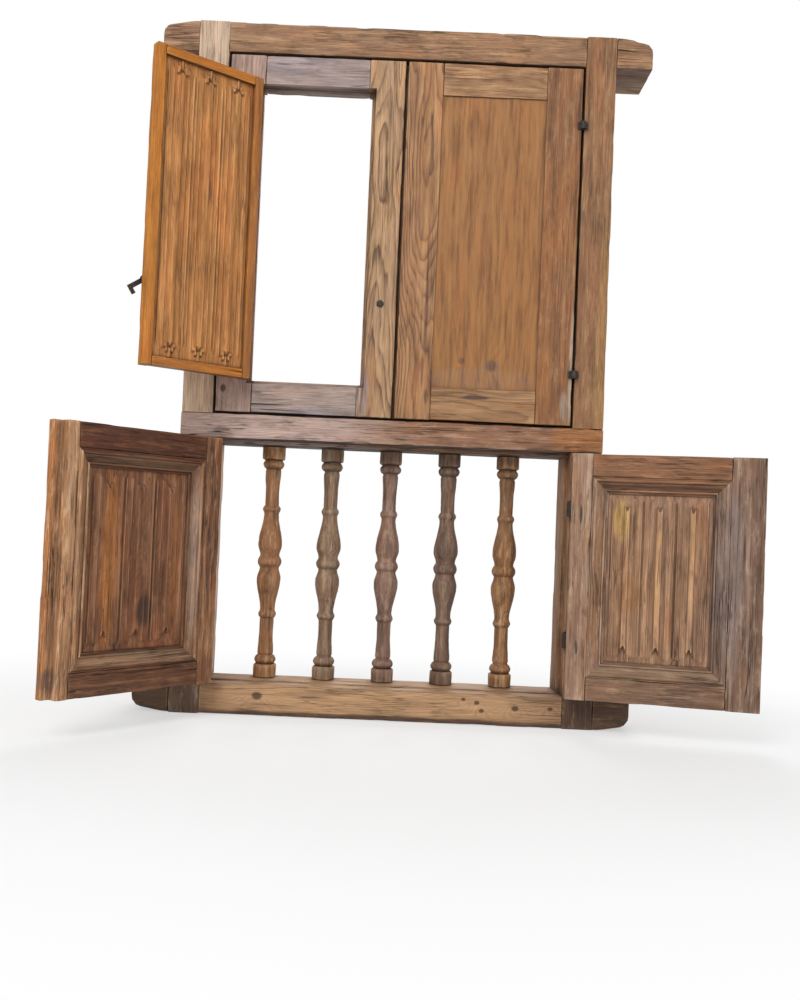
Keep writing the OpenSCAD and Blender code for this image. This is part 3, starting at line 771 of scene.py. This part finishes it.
def shutter(side, joint, open_angle, seed, looks):
    """A framed and carved shutter; side is "left" or "right"."""
    mirror = side == "right"
    body = f"lower_{side}_shutter"
    place = hung_matrix(joint, open_angle, TRANSOM_Z - GAP - SHUTTER_H)
    x0, y0 = GAP, ROOM - joint["pos_m"][1]
    x1 = x0 + SHUTTER_W
    y1 = y0 + SHUTTER_T
    inner = x1 - FREE_STILE[side]
    hinge = rectangle(x0, x0 + SHUTTER_STILE, y0, y1)
    if mirror:
        meeting = [(inner, y0), (x1 - LAP_W, y0), (x1 - LAP_W, y1 - LAP_T),
                   (x1, y1 - LAP_T), (x1, y1), (inner, y1)]
    else:
        meeting = [(inner, y0), (x1, y0), (x1, y0 + LAP_T), (x1 - LAP_W, y0 + LAP_T),
                   (x1 - LAP_W, y1), (inner, y1)]
    fine = {"wear": 0.0016, "step": 0.0024, "pitch": 0.009, "splits": 7}
    boards = {
        "hinge_stile": timber(hinge, 0, SHUTTER_H, "z", seed, **fine),
        "meeting_stile": timber(meeting, 0, SHUTTER_H, "z", seed + 20, **fine),
        "bottom_rail": timber(rectangle(0, SHUTTER_RAIL, y0, y1), x0 + SHUTTER_STILE, inner,
                              "x", seed + 40, **fine),
        "top_rail": timber(rectangle(SHUTTER_H - SHUTTER_RAIL, SHUTTER_H, y0, y1),
                           x0 + SHUTTER_STILE, inner, "x", seed + 60, **fine),
    }
    high = SHUTTER_H - 2 * SHUTTER_RAIL
    wide = inner - x0 - SHUTTER_STILE
    left_x = x0 + SHUTTER_STILE
    edges = {
        "hinge_stile": ((left_x, y0, SHUTTER_RAIL), (1, 0, 0), (0, 0, 1), high),
        "meeting_stile": ((inner, y0, SHUTTER_RAIL), (-1, 0, 0), (0, 0, 1), high),
        "bottom_rail": ((left_x, y0, SHUTTER_RAIL), (0, 0, 1), (1, 0, 0), wide),
        "top_rail": ((left_x, y0, SHUTTER_H - SHUTTER_RAIL), (0, 0, -1), (1, 0, 0), wide),
    }
    for number, (part, board) in enumerate(boards.items()):
        node = f"lower_{side}_{part}"
        strip = moulding_shell(*edges[part], seed + 80 + number)
        obj = shells_object("old_" + node, [board, strip], mirror)
        obj.matrix_world = place
        dress(obj, looks[part], body, [node])
    panel_x = left_x + MOULDING_W
    panel_z = SHUTTER_RAIL + MOULDING_W
    shell = carved_shell(wide - 2 * MOULDING_W, high - 2 * MOULDING_W, PANEL_BACK, PANEL_FIELD,
                         0.0092, seed + 90, panel_x, y0, panel_z)
    obj = shells_object(f"old_lower_{side}_panel", [shell], mirror)
    obj.matrix_world = place
    dress(obj, looks["panel"], body, [f"lower_{side}_panel"])


# ----------------------------------------------------------------- leaves

def leaf(side, seed, looks):
    """A framed leaf, hung shut: the left one has a hole for the wicket."""
    mirror = side == "right"
    x0 = -CLEAR + GAP
    x1 = x0 + LEAF_W
    y0, y1 = ROOM, ROOM + LEAF_T
    z1 = LEAF_Z + LEAF_H
    half = (y0 + y1) / 2
    lap = 0.012
    inner = x1 - LEAF_STILE
    hinge = rectangle(x0, x0 + LEAF_STILE, y0, y1)
    if mirror:
        meeting = [(inner, y0), (x1, y0), (x1, half), (x1 - lap, half), (x1 - lap, y1), (inner, y1)]
    else:
        tongue_x = x1 + 0.017
        meeting = [(inner, y0), (x1, y0), (x1, half + 0.0003), (tongue_x, half + 0.0003),
                   (tongue_x, y1), (inner, y1)]
    fine = {"wear": 0.0014, "step": 0.0026, "pitch": 0.011, "splits": 3}
    rail_start = x0 + LEAF_STILE
    boards = {
        "hinge_stile": timber(hinge, LEAF_Z, z1, "z", seed, **fine),
        "meeting_stile": timber(meeting, LEAF_Z, z1, "z", seed + 20, **fine),
        "bottom_rail": timber(rectangle(LEAF_Z, LEAF_Z + LEAF_RAIL, y0, y1), rail_start, inner,
                              "x", seed + 40, **fine),
        "top_rail": timber(rectangle(z1 - LEAF_RAIL, z1, y0, y1), rail_start, inner,
                           "x", seed + 60, **fine),
    }
    rebate_x = HOLE_X - WICKET_LIP
    rebate_z = LEAF_RAIL - WICKET_LIP
    hole = [
        ((x0 + HOLE_X, -FAR, LEAF_Z + LEAF_RAIL), (x1 - HOLE_X, FAR, z1 - LEAF_RAIL)),
        ((x0 + rebate_x, -FAR, LEAF_Z + rebate_z),
         (x1 - rebate_x, y0 + WICKET_T + GAP, z1 - rebate_z)),
    ]
    for part, board in boards.items():
        node = f"{side}_leaf_{part}"
        obj = shells_object("old_" + node, [board], mirror)
        if not mirror:
            cut(obj, hole)
        dress(obj, looks[part], "frame", [node])
    if mirror:
        shell = carved_shell(LEAF_W - 2 * LEAF_STILE, LEAF_H - 2 * LEAF_RAIL, 0.005, 0.026,
                             0.007, seed + 90, rail_start, y0, LEAF_Z + LEAF_RAIL)
        obj = shells_object("old_right_leaf_panel", [shell], mirror)
        dress(obj, looks["panel"], "frame", ["right_leaf_panel"])


def wicket(joint, open_angle, seed, looks):
    """The small carved shutter of the left leaf."""
    z0 = LEAF_Z + LEAF_RAIL - WICKET_LIP + GAP
    place = hung_matrix(joint, open_angle, z0)
    x0, y0 = GAP, ROOM - joint["pos_m"][1]
    x1, y1 = x0 + WICKET_W, y0 + WICKET_T
    fine = {"wear": 0.0010, "step": 0.0024, "pitch": 0.010, "splits": 1, "radius": 0.0016}
    stiles = [timber(rectangle(x0, x0 + BORDER, y0, y1), 0, WICKET_H, "z", seed, **fine),
              timber(rectangle(x1 - BORDER, x1, y0, y1), 0, WICKET_H, "z", seed + 1, **fine)]
    rails = [timber(rectangle(z, z + BORDER, y0, y1), x0 + BORDER, x1 - BORDER, "x",
                    seed + 2 + i, **fine)
             for i, z in enumerate((0, WICKET_H - BORDER))]
    panel = carved_shell(WICKET_W - 2 * BORDER, WICKET_H - 2 * BORDER, 0.007, 0.018, 0.0068,
                         seed + 9, x0 + BORDER, y0, BORDER, tassel=True)
    rows = [("stiles", stiles, "wicket_border_timber"), ("rails", rails, "wicket_border_timber"),
            ("panel", [panel], "wicket_panel_timber")]
    for part, shells, slot in rows:
        obj = shells_object("old_wicket_" + part, shells)
        obj.matrix_world = place
        dress(obj, looks[part], "wicket", ["wicket_" + part])


# --------------------------------------------------------------- ironwork

def forged_nail(material):
    """The nail's head, hammered and not quite round."""
    lo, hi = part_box("clenched_nail")
    centre = (lo + hi) / 2
    rings, around = 7, 28
    angle = np.linspace(0, 2 * math.pi, around, endpoint=False)
    uneven = 1 + 0.09 * noise2(angle * 1.3, angle * 0 + 0.5, 5) + 0.04 * np.cos(angle * 5)
    verts = []
    for i in range(rings):
        t = i / (rings - 1)
        radius = 0.0086 * (1 - 0.62 * t ** 2.2) * uneven
        y = hi.y - (hi.y - lo.y) * math.sin(t * math.pi / 2)
        verts += [(centre.x + r * math.cos(a), y, centre.z + r * math.sin(a))
                  for r, a in zip(radius, angle)]
    obj = shells_object("forged_nail", [(verts, tube_faces(rings, around))])
    dress(obj, material, "frame", ["clenched_nail"])


def use_iron(material):
    """The hinges keep their own shape, with edges eased by the hammer."""
    names = ["jamb_hinge_pins", "lower_left_hinge_eyes", "lower_right_hinge_eyes",
             "wicket_hinge_pins", "wicket_hinge_eyes", "leaf_hinges", "wicket_latch"]
    for name in names:
        obj = frame["nodes"][name]
        obj.data.materials.clear()
        obj.data.materials.append(material)
        bevel = obj.modifiers.new("eased", "BEVEL")
        bevel.width = 0.0007
        bevel.segments = 2
        bevel.limit_method = "ANGLE"


# ---------------------------------------------------------------- colours

GREY_PINK = rgb(168, 138, 124)
TAN = rgb(186, 146, 100)
PALE = rgb(200, 172, 138)
AMBER = rgb(196, 128, 52)
RED_BROWN = rgb(120, 74, 48)
DARK = rgb(78, 52, 38)
SILVER = rgb(160, 148, 134)
YELLOW = rgb(196, 152, 84)


def frame_woods():
    sill = wood("wood_sill", rgb(132, 94, 64), rgb(84, 56, 38), TAN, rgb(92, 64, 48), "x", 3,
                heart=(0.12, 0.0), flare=0.01, bold=0.4, cracked=0.6, scuffed=0.14, streaky=0.3,
                warm=0.25, gain=(1.08, 1.1, 1.1),
                knots=[(0.049, -0.302, 0.012), (0.055, 0.236, 0.006), (0.036, 0.248, 0.006),
                       (0.044, 0.330, 0.008), (0.047, 0.416, 0.006), (0.062, 0.203, 0.005)],
                patches=[(0.045, -0.02, 0.06, 0.52, rgb(188, 148, 108), 0.92),
                         (0.004, 0.0, 0.011, 0.6, DARK, 0.85),
                         (0.04, -0.56, 0.09, 0.10, rgb(80, 58, 38), 0.9),
                         (0.04, 0.57, 0.09, 0.10, rgb(76, 54, 36), 0.9)])
    left = wood("wood_left_jamb", rgb(160, 128, 100), rgb(108, 80, 60), rgb(186, 160, 130),
                GREY_PINK, "z", 5, heart=(-0.62, 0.02), flare=0.02, bold=0.4,
                gain=(1.5, 1.7, 1.9), scuffed=0.25, streaky=0.4, warm=0.15,
                patches=[(-0.48, 0.03, 0.09, 0.09, DARK, 0.85)])
    right = wood("wood_right_jamb", rgb(150, 108, 74), rgb(100, 68, 46), rgb(188, 158, 120),
                 rgb(138, 92, 62), "z", 7, heart=(0.60, 0.0), flare=0.02, bold=0.45,
                 gain=(0.94, 0.90, 0.80), scuffed=0.3, streaky=0.5,
                 patches=[(0.515, 0.95, 0.022, 0.35, rgb(170, 128, 74), 0.5),
                          (0.48, 0.03, 0.09, 0.09, rgb(66, 44, 32), 0.9)])
    # The transom's underside gets a strong painted shade.
    middle = wood("wood_transom", rgb(146, 104, 78), rgb(92, 60, 44), rgb(178, 146, 120),
                  rgb(150, 118, 104), "x", 9, heart=(0.80, -0.01), flare=0.01, bold=0.5,
                  cracked=1.0, stained=0.6, scuffed=0.35, streaky=0.6, gain=(1.1, 1.12, 1.06), underside_shade=0.95,
                  patches=[(0.71, -0.32, 0.09, 0.30, rgb(190, 166, 158), 0.75),
                           (0.71, 0.25, 0.09, 0.22, RED_BROWN, 0.3),
                           (0.715, 0.47, 0.05, 0.085, rgb(164, 108, 58), 0.95)])
    return sill, left, right, middle


def baluster_wood(number):
    tones = [
        (rgb(136, 98, 62), rgb(80, 52, 34), rgb(186, 150, 112), rgb(124, 80, 48)),
        (rgb(136, 108, 82), rgb(78, 58, 42), rgb(180, 158, 132), rgb(112, 90, 66)),
        (rgb(136, 106, 88), rgb(80, 54, 44), rgb(184, 158, 138), rgb(108, 76, 62)),
        (rgb(118, 92, 74), rgb(66, 48, 38), rgb(158, 134, 110), rgb(94, 78, 66)),
        (rgb(138, 100, 66), rgb(66, 42, 30), rgb(184, 148, 106), rgb(84, 56, 40)),
    ]
    mid, late, worn, stain = tones[number - 1]
    gain = ((1.35, 1.3, 1.3), (1.1, 1.08, 1.1), (0.95, 0.92, 0.9), (1.1, 1.08, 1.06),
            (1.4, 1.4, 1.4))[number - 1]
    return wood(f"wood_baluster_{number}", mid, late, worn, stain, "z", 30 + number,
                ring=0.004, heart=(0.012, 0.03), flare=0.02, bold=0.35, stained=0.7,
                cracked=0.6, edge=0.7, grime=0.5, scuffed=0.35, streaky=0.6, gain=gain)


def left_shutter_woods():
    old = {"ring": 0.0046, "heart": (0.2, 0.09), "flare": 0.02, "bold": 0.45, "edge": 0.8,
           "cracked": 0.8, "grime": 0.6, "scuffed": 0.42, "streaky": 0.6, "warm": 0.65}
    dark = (rgb(104, 66, 42), rgb(58, 36, 24), rgb(150, 106, 72), rgb(84, 50, 32))
    pale = rgb(168, 134, 104)
    return {
        "hinge_stile": wood("wood_left_hinge_stile", rgb(122, 84, 58), rgb(72, 46, 32),
                            rgb(184, 146, 112), rgb(104, 64, 42), "z", 50, **old,
                            gain=(1.15, 1.04, 0.9),
                            patches=[(0.074, 0.30, 0.016, 0.21, rgb(166, 138, 118), 0.75)]),
        "meeting_stile": wood("wood_left_meeting_stile", rgb(164, 126, 92), rgb(104, 72, 48),
                              rgb(206, 176, 144), rgb(140, 104, 74), "z", 51, **old,
                              gain=(1.3, 1.2, 1.1),
                              patches=[(0.4535, 0.30, 0.010, 0.60, rgb(178, 112, 56), 0.9),
                                       (0.4335, 0.30, 0.004, 0.60, rgb(168, 116, 72), 0.5),
                                       (0.384, 0.30, 0.014, 0.24, rgb(150, 114, 82), 0.5),
                                       (0.44, 0.04, 0.016, 0.03, rgb(96, 78, 72), 0.6)]),
        "bottom_rail": wood("wood_left_bottom_rail", *dark, "x", 52, **old, gain=(1.04, 0.98, 0.84),
                            patches=[(0.076, 0.22, 0.015, 0.30, pale, 0.75)]),
        "top_rail": wood("wood_left_top_rail", *dark, "x", 53, **old, gain=(0.8, 0.60, 0.44),
                         patches=[(0.514, 0.22, 0.015, 0.30, rgb(146, 112, 84), 0.65)]),
        "panel": wood("wood_left_panel", rgb(132, 86, 56), rgb(80, 50, 34), rgb(184, 140, 104),
                      rgb(104, 70, 52), "z", 55, ring=0.005, heart=(0.3, -0.2), flare=0.02,
                      bold=0.45, edge=0.85, grime=0.7, cracked=0.7, scuffed=0.32, streaky=0.6, warm=0.65,
                      gain=(1.0, 0.93, 0.84), knots=[(0.205, 0.18, 0.032)],
                      patches=[(0.305, 0.30, 0.024, 0.22, rgb(184, 116, 52), 0.8),
                               (0.125, 0.28, 0.016, 0.20, rgb(172, 108, 56), 0.7)]),
    }


def right_shutter_woods():
    old = {"ring": 0.0046, "heart": (-0.2, 0.09), "flare": 0.02, "bold": 0.45, "edge": 0.8,
           "cracked": 0.8, "grime": 0.6, "scuffed": 0.4, "streaky": 0.6, "warm": 0.5}
    return {
        "hinge_stile": wood("wood_right_hinge_stile", rgb(158, 122, 96), rgb(104, 76, 58),
                            rgb(194, 166, 140), rgb(140, 108, 90), "z", 60, **old,
                            patches=[(-0.074, 0.30, 0.016, 0.21, rgb(150, 106, 66), 0.6),
                                     (-0.030, 0.445, 0.0035, 0.024, rgb(52, 50, 42), 0.9),
                                     (-0.030, 0.125, 0.003, 0.018, rgb(60, 48, 38), 0.85)]),
        "meeting_stile": wood("wood_right_meeting_stile", rgb(132, 106, 86), rgb(84, 62, 50),
                              rgb(178, 160, 144), rgb(112, 88, 74), "z", 61, **old,
                              gain=(1.0, 0.9, 0.84),
                              patches=[(-0.375, 0.30, 0.036, 0.24, rgb(146, 132, 126), 0.5),
                                       (-0.4535, 0.30, 0.02, 0.6, rgb(112, 82, 60), 0.6)]),
        "bottom_rail": wood("wood_right_bottom_rail", rgb(140, 108, 84), rgb(86, 62, 46),
                            rgb(186, 158, 126), rgb(118, 86, 64), "x", 62, **old,
                            gain=(0.92, 0.86, 0.82),
                            patches=[(0.076, -0.2, 0.015, 0.30, rgb(156, 126, 98), 0.6)]),
        "top_rail": wood("wood_right_top_rail", rgb(150, 106, 72), rgb(90, 60, 42),
                         rgb(182, 142, 102), rgb(124, 76, 48), "x", 63, **old,
                         gain=(0.9, 0.84, 0.8),
                         patches=[(0.514, -0.2, 0.015, 0.30, rgb(116, 80, 56), 0.7)]),
        "panel": wood("wood_right_panel", rgb(152, 116, 88), rgb(98, 70, 54),
                      rgb(198, 164, 126), rgb(128, 98, 84), "z", 65, ring=0.005,
                      heart=(-0.3, -0.2), flare=0.02, bold=0.4, edge=0.9, grime=0.7,
                      cracked=0.7, scuffed=0.32, streaky=0.6, warm=0.5, gain=(1.1, 1.04, 1.0),
                      patches=[(-0.126, 0.43, 0.022, 0.055, rgb(206, 164, 96), 0.9),
                               (-0.214, 0.29, 0.009, 0.16, rgb(200, 152, 106), 0.85),
                               (-0.293, 0.33, 0.009, 0.15, rgb(196, 148, 104), 0.85),
                               (-0.15, 0.26, 0.03, 0.05, rgb(160, 112, 62), 0.5)]),
    }


def leaf_woods():
    left = {
        "hinge_stile": wood("wood_leaf_a", rgb(164, 134, 118), rgb(112, 86, 74),
                            rgb(194, 168, 150), rgb(146, 122, 116), "z", 70,
                            scuffed=0.25, streaky=0.4, warm=0.2,
                            heart=(-0.46, 0.03), bold=0.35, knots=[(-0.42, 0.80, 0.009)]),
        "meeting_stile": wood("wood_leaf_b", rgb(180, 142, 102), rgb(96, 62, 40),
                              rgb(200, 168, 126), rgb(156, 118, 92), "z", 72, ring=0.0068,
                              scuffed=0.15, streaky=0.35, warm=0.35,
                              heart=(-0.050, -0.022), flare=0.028, bold=0.95, stained=0.35,
                              patches=[(-0.080, 0.80, 0.016, 0.07, rgb(168, 146, 140), 0.7)]),
        "bottom_rail": wood("wood_leaf_c", rgb(158, 138, 128), rgb(108, 88, 80),
                            rgb(186, 164, 152), rgb(140, 130, 138), "x", 74,
                            scuffed=0.25, streaky=0.4, warm=0.2,
                            heart=(0.60, 0.0), flare=0.01, bold=0.3, stained=0.8,
                            patches=[(0.822, -0.22, 0.006, 0.3, rgb(176, 146, 128), 0.7)]),
        "top_rail": wood("wood_leaf_d", rgb(158, 136, 124), rgb(108, 86, 76),
                         rgb(186, 162, 148), rgb(140, 126, 130), "x", 75,
                            scuffed=0.25, streaky=0.4, warm=0.2,
                         heart=(1.80, 0.0), flare=0.01, bold=0.3, stained=0.7),
    }
    right = {
        "hinge_stile": wood("wood_leaf_e", rgb(142, 98, 62), rgb(92, 60, 38),
                            rgb(184, 150, 110), rgb(150, 98, 52), "z", 80,
                            heart=(0.52, 0.0), bold=0.4, stained=0.6, scuffed=0.3, streaky=0.5,
                            gain=(0.95, 0.88, 0.8),
                            patches=[(0.434, 0.88, 0.006, 0.16, rgb(188, 174, 152), 0.6),
                                     (0.42, 0.79, 0.010, 0.04, rgb(172, 156, 138), 0.6),
                                     (0.37, 0.86, 0.02, 0.09, rgb(166, 108, 54), 0.5)]),
        "meeting_stile": wood("wood_leaf_f", rgb(172, 128, 86), rgb(96, 62, 44),
                              rgb(194, 156, 108), rgb(152, 108, 74), "z", 82, ring=0.0058,
                              scuffed=0.15, streaky=0.35, warm=0.35, gain=(0.95, 0.9, 0.84),
                              heart=(0.072, -0.020), flare=-0.045, bold=0.9, stained=0.4,
                              patches=[(0.072, 1.0, 0.005, 0.12, rgb(92, 54, 46), 0.7),
                                       (0.068, 0.86, 0.004, 0.05, rgb(92, 54, 46), 0.6)]),
        "bottom_rail": wood("wood_leaf_g", rgb(166, 126, 86), rgb(104, 72, 48),
                            rgb(196, 156, 110), rgb(150, 112, 80), "x", 84, ring=0.006,
                            scuffed=0.12, streaky=0.35, gain=(0.95, 0.93, 0.9),
                            heart=(0.77, -0.03), flare=0.01, bold=0.75,
                            patches=[(0.802, 0.20, 0.006, 0.035, rgb(74, 54, 46), 0.9)]),
        "top_rail": wood("wood_leaf_h", rgb(160, 118, 80), rgb(100, 68, 46),
                         rgb(190, 150, 106), rgb(146, 106, 74), "x", 85, ring=0.006,
                         heart=(1.60, -0.03), flare=0.01, bold=0.6),
        "panel": wood("wood_leaf_panel", rgb(160, 106, 54), rgb(104, 62, 30),
                      rgb(178, 124, 66), rgb(140, 92, 54), "z", 86, ring=0.0125,
                      heart=(0.196, -0.060), flare=-0.012, bold=0.6, stained=0.5, cracked=0.1,
                      sheen=0.5, scuffed=0.12, streaky=0.45, warm=0.5, gain=(0.84, 0.82, 0.74),
                      knots=[(0.164, 0.893, 0.008), (0.238, 0.884, 0.013)],
                      patches=[(0.22, 0.850, 0.16, 0.030, rgb(148, 112, 84), 0.6),
                               (0.238, 0.884, 0.024, 0.014, rgb(112, 98, 92), 0.8),
                               (0.196, 0.935, 0.0062, 0.060, rgb(112, 64, 30), 0.75),
                               (0.196, 0.930, 0.0030, 0.040, rgb(158, 104, 54), 0.7),
                               (0.158, 0.882, 0.004, 0.006, rgb(206, 104, 52), 0.7)]),
    }
    return left, right


def wicket_woods():
    border = (rgb(192, 118, 26), rgb(136, 74, 18), rgb(210, 142, 52), rgb(162, 94, 24))
    # A darker patch down the hinge-side stile: painted shade beside the hinge.
    hinge_side_shade = (0.016, 0.37, 0.018, 1.0, rgb(146, 90, 40), 0.8)
    return {
        "stiles": wood("wood_wicket_stiles", *border, "z", 90, heart=(0.5, 0.1), bold=0.35,
                       stained=0.5, cracked=0.3, sheen=0.6, grime=0.5, scuffed=0.25,
                       patches=[hinge_side_shade]),
        "rails": wood("wood_wicket_rails", *border, "x", 91, heart=(0.5, 0.1), bold=0.35,
                      stained=0.5, cracked=0.3, sheen=0.6, grime=0.5, scuffed=0.25),
        "panel": wood("wood_wicket_panel", rgb(184, 124, 66), rgb(120, 74, 36),
                      rgb(212, 160, 102), rgb(160, 102, 48), "z", 92, heart=(0.4, 0.2),
                      bold=0.45, edge=0.7, grime=0.7, sheen=0.3, scuffed=0.25, streaky=0.6,
                      gain=(1.04, 1.0, 0.86)),
    }


# ------------------------------------------------------------ the object

sill_wood, left_wood, right_wood, transom_wood = frame_woods()

dress(horned_beam("old_sill", SILL_LIP, 11, Matrix.Identity(4)),
      sill_wood, "frame", ["sill"])
turned_over = Matrix.Translation((0, 0, TOP)) @ Matrix.Scale(-1, 4, (0, 0, 1))
head_wood = wood("wood_head", rgb(150, 110, 78), rgb(96, 66, 46), TAN, rgb(128, 96, 78), "x", 13,
                 heart=(1.80, 0.0), flare=0.01, bold=0.4, cracked=0.8)
dress(horned_beam("old_head", STOP_LIP, 12, turned_over),
      head_wood, "frame", ["head"])
dress(jamb("old_left_jamb", 14, True), left_wood, "frame", ["left_jamb"])
dress(jamb("old_right_jamb", 15, False), right_wood, "frame", ["right_jamb"])
dress(transom("old_transom", 16), transom_wood, "frame", ["transom"])
for number in range(1, 6):
    node = f"baluster_{number}"
    turned = baluster("old_" + node, *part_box(node), 300 + 7 * number)
    dress(turned, baluster_wood(number), "frame", [node])

joints = {joint["child"]: joint for joint in frame["joints"]}
left_joint = joints["lower_left_shutter"]
right_joint = joints["lower_right_shutter"]
wicket_joint = joints["wicket"]
shutter("left", left_joint, -left_joint["range_deg"][1], 400, left_shutter_woods())
shutter("right", right_joint, -right_joint["range_deg"][0], 520, right_shutter_woods())

left_looks, right_looks = leaf_woods()
leaf("left", 640, left_looks)
leaf("right", 760, right_looks)
wicket(wicket_joint, -wicket_joint["range_deg"][1], 880, wicket_woods())

forged = iron("forged_iron_dark")
use_iron(forged)
forged_nail(forged)


# ------------------------------------------------------- floor and light

def pale_floor():
    """A white floor that shows the object's shadow near it only."""
    mesh = bpy.data.meshes.new("floor")
    half = 30.0
    mesh.from_pydata([(-half, -half, 0), (half, -half, 0), (half, half, 0), (-half, half, 0)],
                     [], [(0, 1, 2, 3)])
    floor = bpy.data.objects.new("floor", mesh)
    floor.location.z = sill_lo.z - 0.0005
    bpy.context.scene.collection.objects.link(floor)
    n = Nodes("floor_white")
    place = n.add("TexCoord").outputs["Object"]
    parts = n.add("SeparateXYZ")
    n.feed(parts.inputs[0], place)
    x = n.math("MULTIPLY", parts.outputs[0], 0.8)
    y = n.math("ADD", parts.outputs[1], 0.2)
    far = n.math("SQRT", n.math("ADD", n.math("MULTIPLY", x, x), n.math("MULTIPLY", y, y)))
    shade = n.span(far, 0.5, 1.6, 0.5, 0.0)
    diffuse = n.add("BsdfDiffuse")
    diffuse.inputs[0].default_value = (0.85, 0.85, 0.85, 1)
    glow = n.add("Emission")
    glow.inputs[0].default_value = (1, 1, 1, 1)
    mixed = n.add("MixShader")
    n.feed(mixed.inputs[0], shade)
    n.feed(mixed.inputs[1], glow.outputs[0])
    n.feed(mixed.inputs[2], diffuse.outputs[0])
    path = n.add("LightPath")
    seen = n.math("MAXIMUM", path.outputs["Is Camera Ray"],
                  n.math("MAXIMUM", path.outputs["Is Glossy Ray"],
                         path.outputs["Is Transmission Ray"]))
    final = n.add("MixShader")
    n.feed(final.inputs[0], seen)
    n.feed(final.inputs[1], diffuse.outputs[0])
    n.feed(final.inputs[2], mixed.outputs[0])
    output = n.add("OutputMaterial")
    n.feed(output.inputs[0], final.outputs[0])
    mesh.materials.append(n.material)


def white_world(ambient):
    """White where the camera looks, and a plain soft light elsewhere."""
    world = bpy.data.worlds.new("studio")
    bpy.context.scene.world = world
    world.use_nodes = True
    tree = world.node_tree
    tree.nodes.clear()
    lit = tree.nodes.new("ShaderNodeBackground")
    lit.inputs[0].default_value = (1, 1, 1, 1)
    lit.inputs[1].default_value = ambient
    white = tree.nodes.new("ShaderNodeBackground")
    white.inputs[0].default_value = (1, 1, 1, 1)
    white.inputs[1].default_value = 1.0
    path = tree.nodes.new("ShaderNodeLightPath")
    highest = tree.nodes.new("ShaderNodeMath")
    highest.operation = "MAXIMUM"
    tree.links.new(path.outputs["Is Camera Ray"], highest.inputs[0])
    tree.links.new(path.outputs["Is Transmission Ray"], highest.inputs[1])
    mixed = tree.nodes.new("ShaderNodeMixShader")
    tree.links.new(highest.outputs[0], mixed.inputs[0])
    tree.links.new(lit.outputs[0], mixed.inputs[1])
    tree.links.new(white.outputs[0], mixed.inputs[2])
    output = tree.nodes.new("ShaderNodeOutputWorld")
    tree.links.new(mixed.outputs[0], output.inputs[0])


def area_light(name, place, aim, size, watts):
    data = bpy.data.lights.new(name, "AREA")
    data.size = size
    data.energy = watts
    lamp = bpy.data.objects.new(name, data)
    lamp.location = place
    lamp.rotation_euler = (Vector(aim) - Vector(place)).to_track_quat("-Z", "Y").to_euler()
    bpy.context.scene.collection.objects.link(lamp)


pale_floor()
white_world(0.42)
area_light("key", (-1.6, -3.6, 3.6), (0, 0, 0.7), 2.6, 135)
area_light("fill", (3.2, -3.2, 1.6), (0, 0, 0.7), 2.4, 45)
area_light("back", (0.5, 3.4, 3.0), (0, 0, 0.9), 2.4, 90)
bpy.context.scene.view_settings.view_transform = "Standard"

# The camera stands about 2.6 m off, a little right of the middle and low.
CAMERA_AWAY = 2.5626
PITCH_UP = 1.49
ROLL = 2.47
camera_data = bpy.data.cameras.new("camera")
camera_data.sensor_width = 36.0
camera_data.lens = 37.55
camera = bpy.data.objects.new("camera", camera_data)
camera.matrix_world = (Matrix.Translation((0.0273, ROOM - CAMERA_AWAY, 0.4759))
                       @ Matrix.Rotation(math.radians(90 + PITCH_UP), 4, "X")
                       @ Matrix.Rotation(math.radians(ROLL), 4, "Z"))
bpy.context.scene.collection.objects.link(camera)
bpy.context.scene.camera = camera
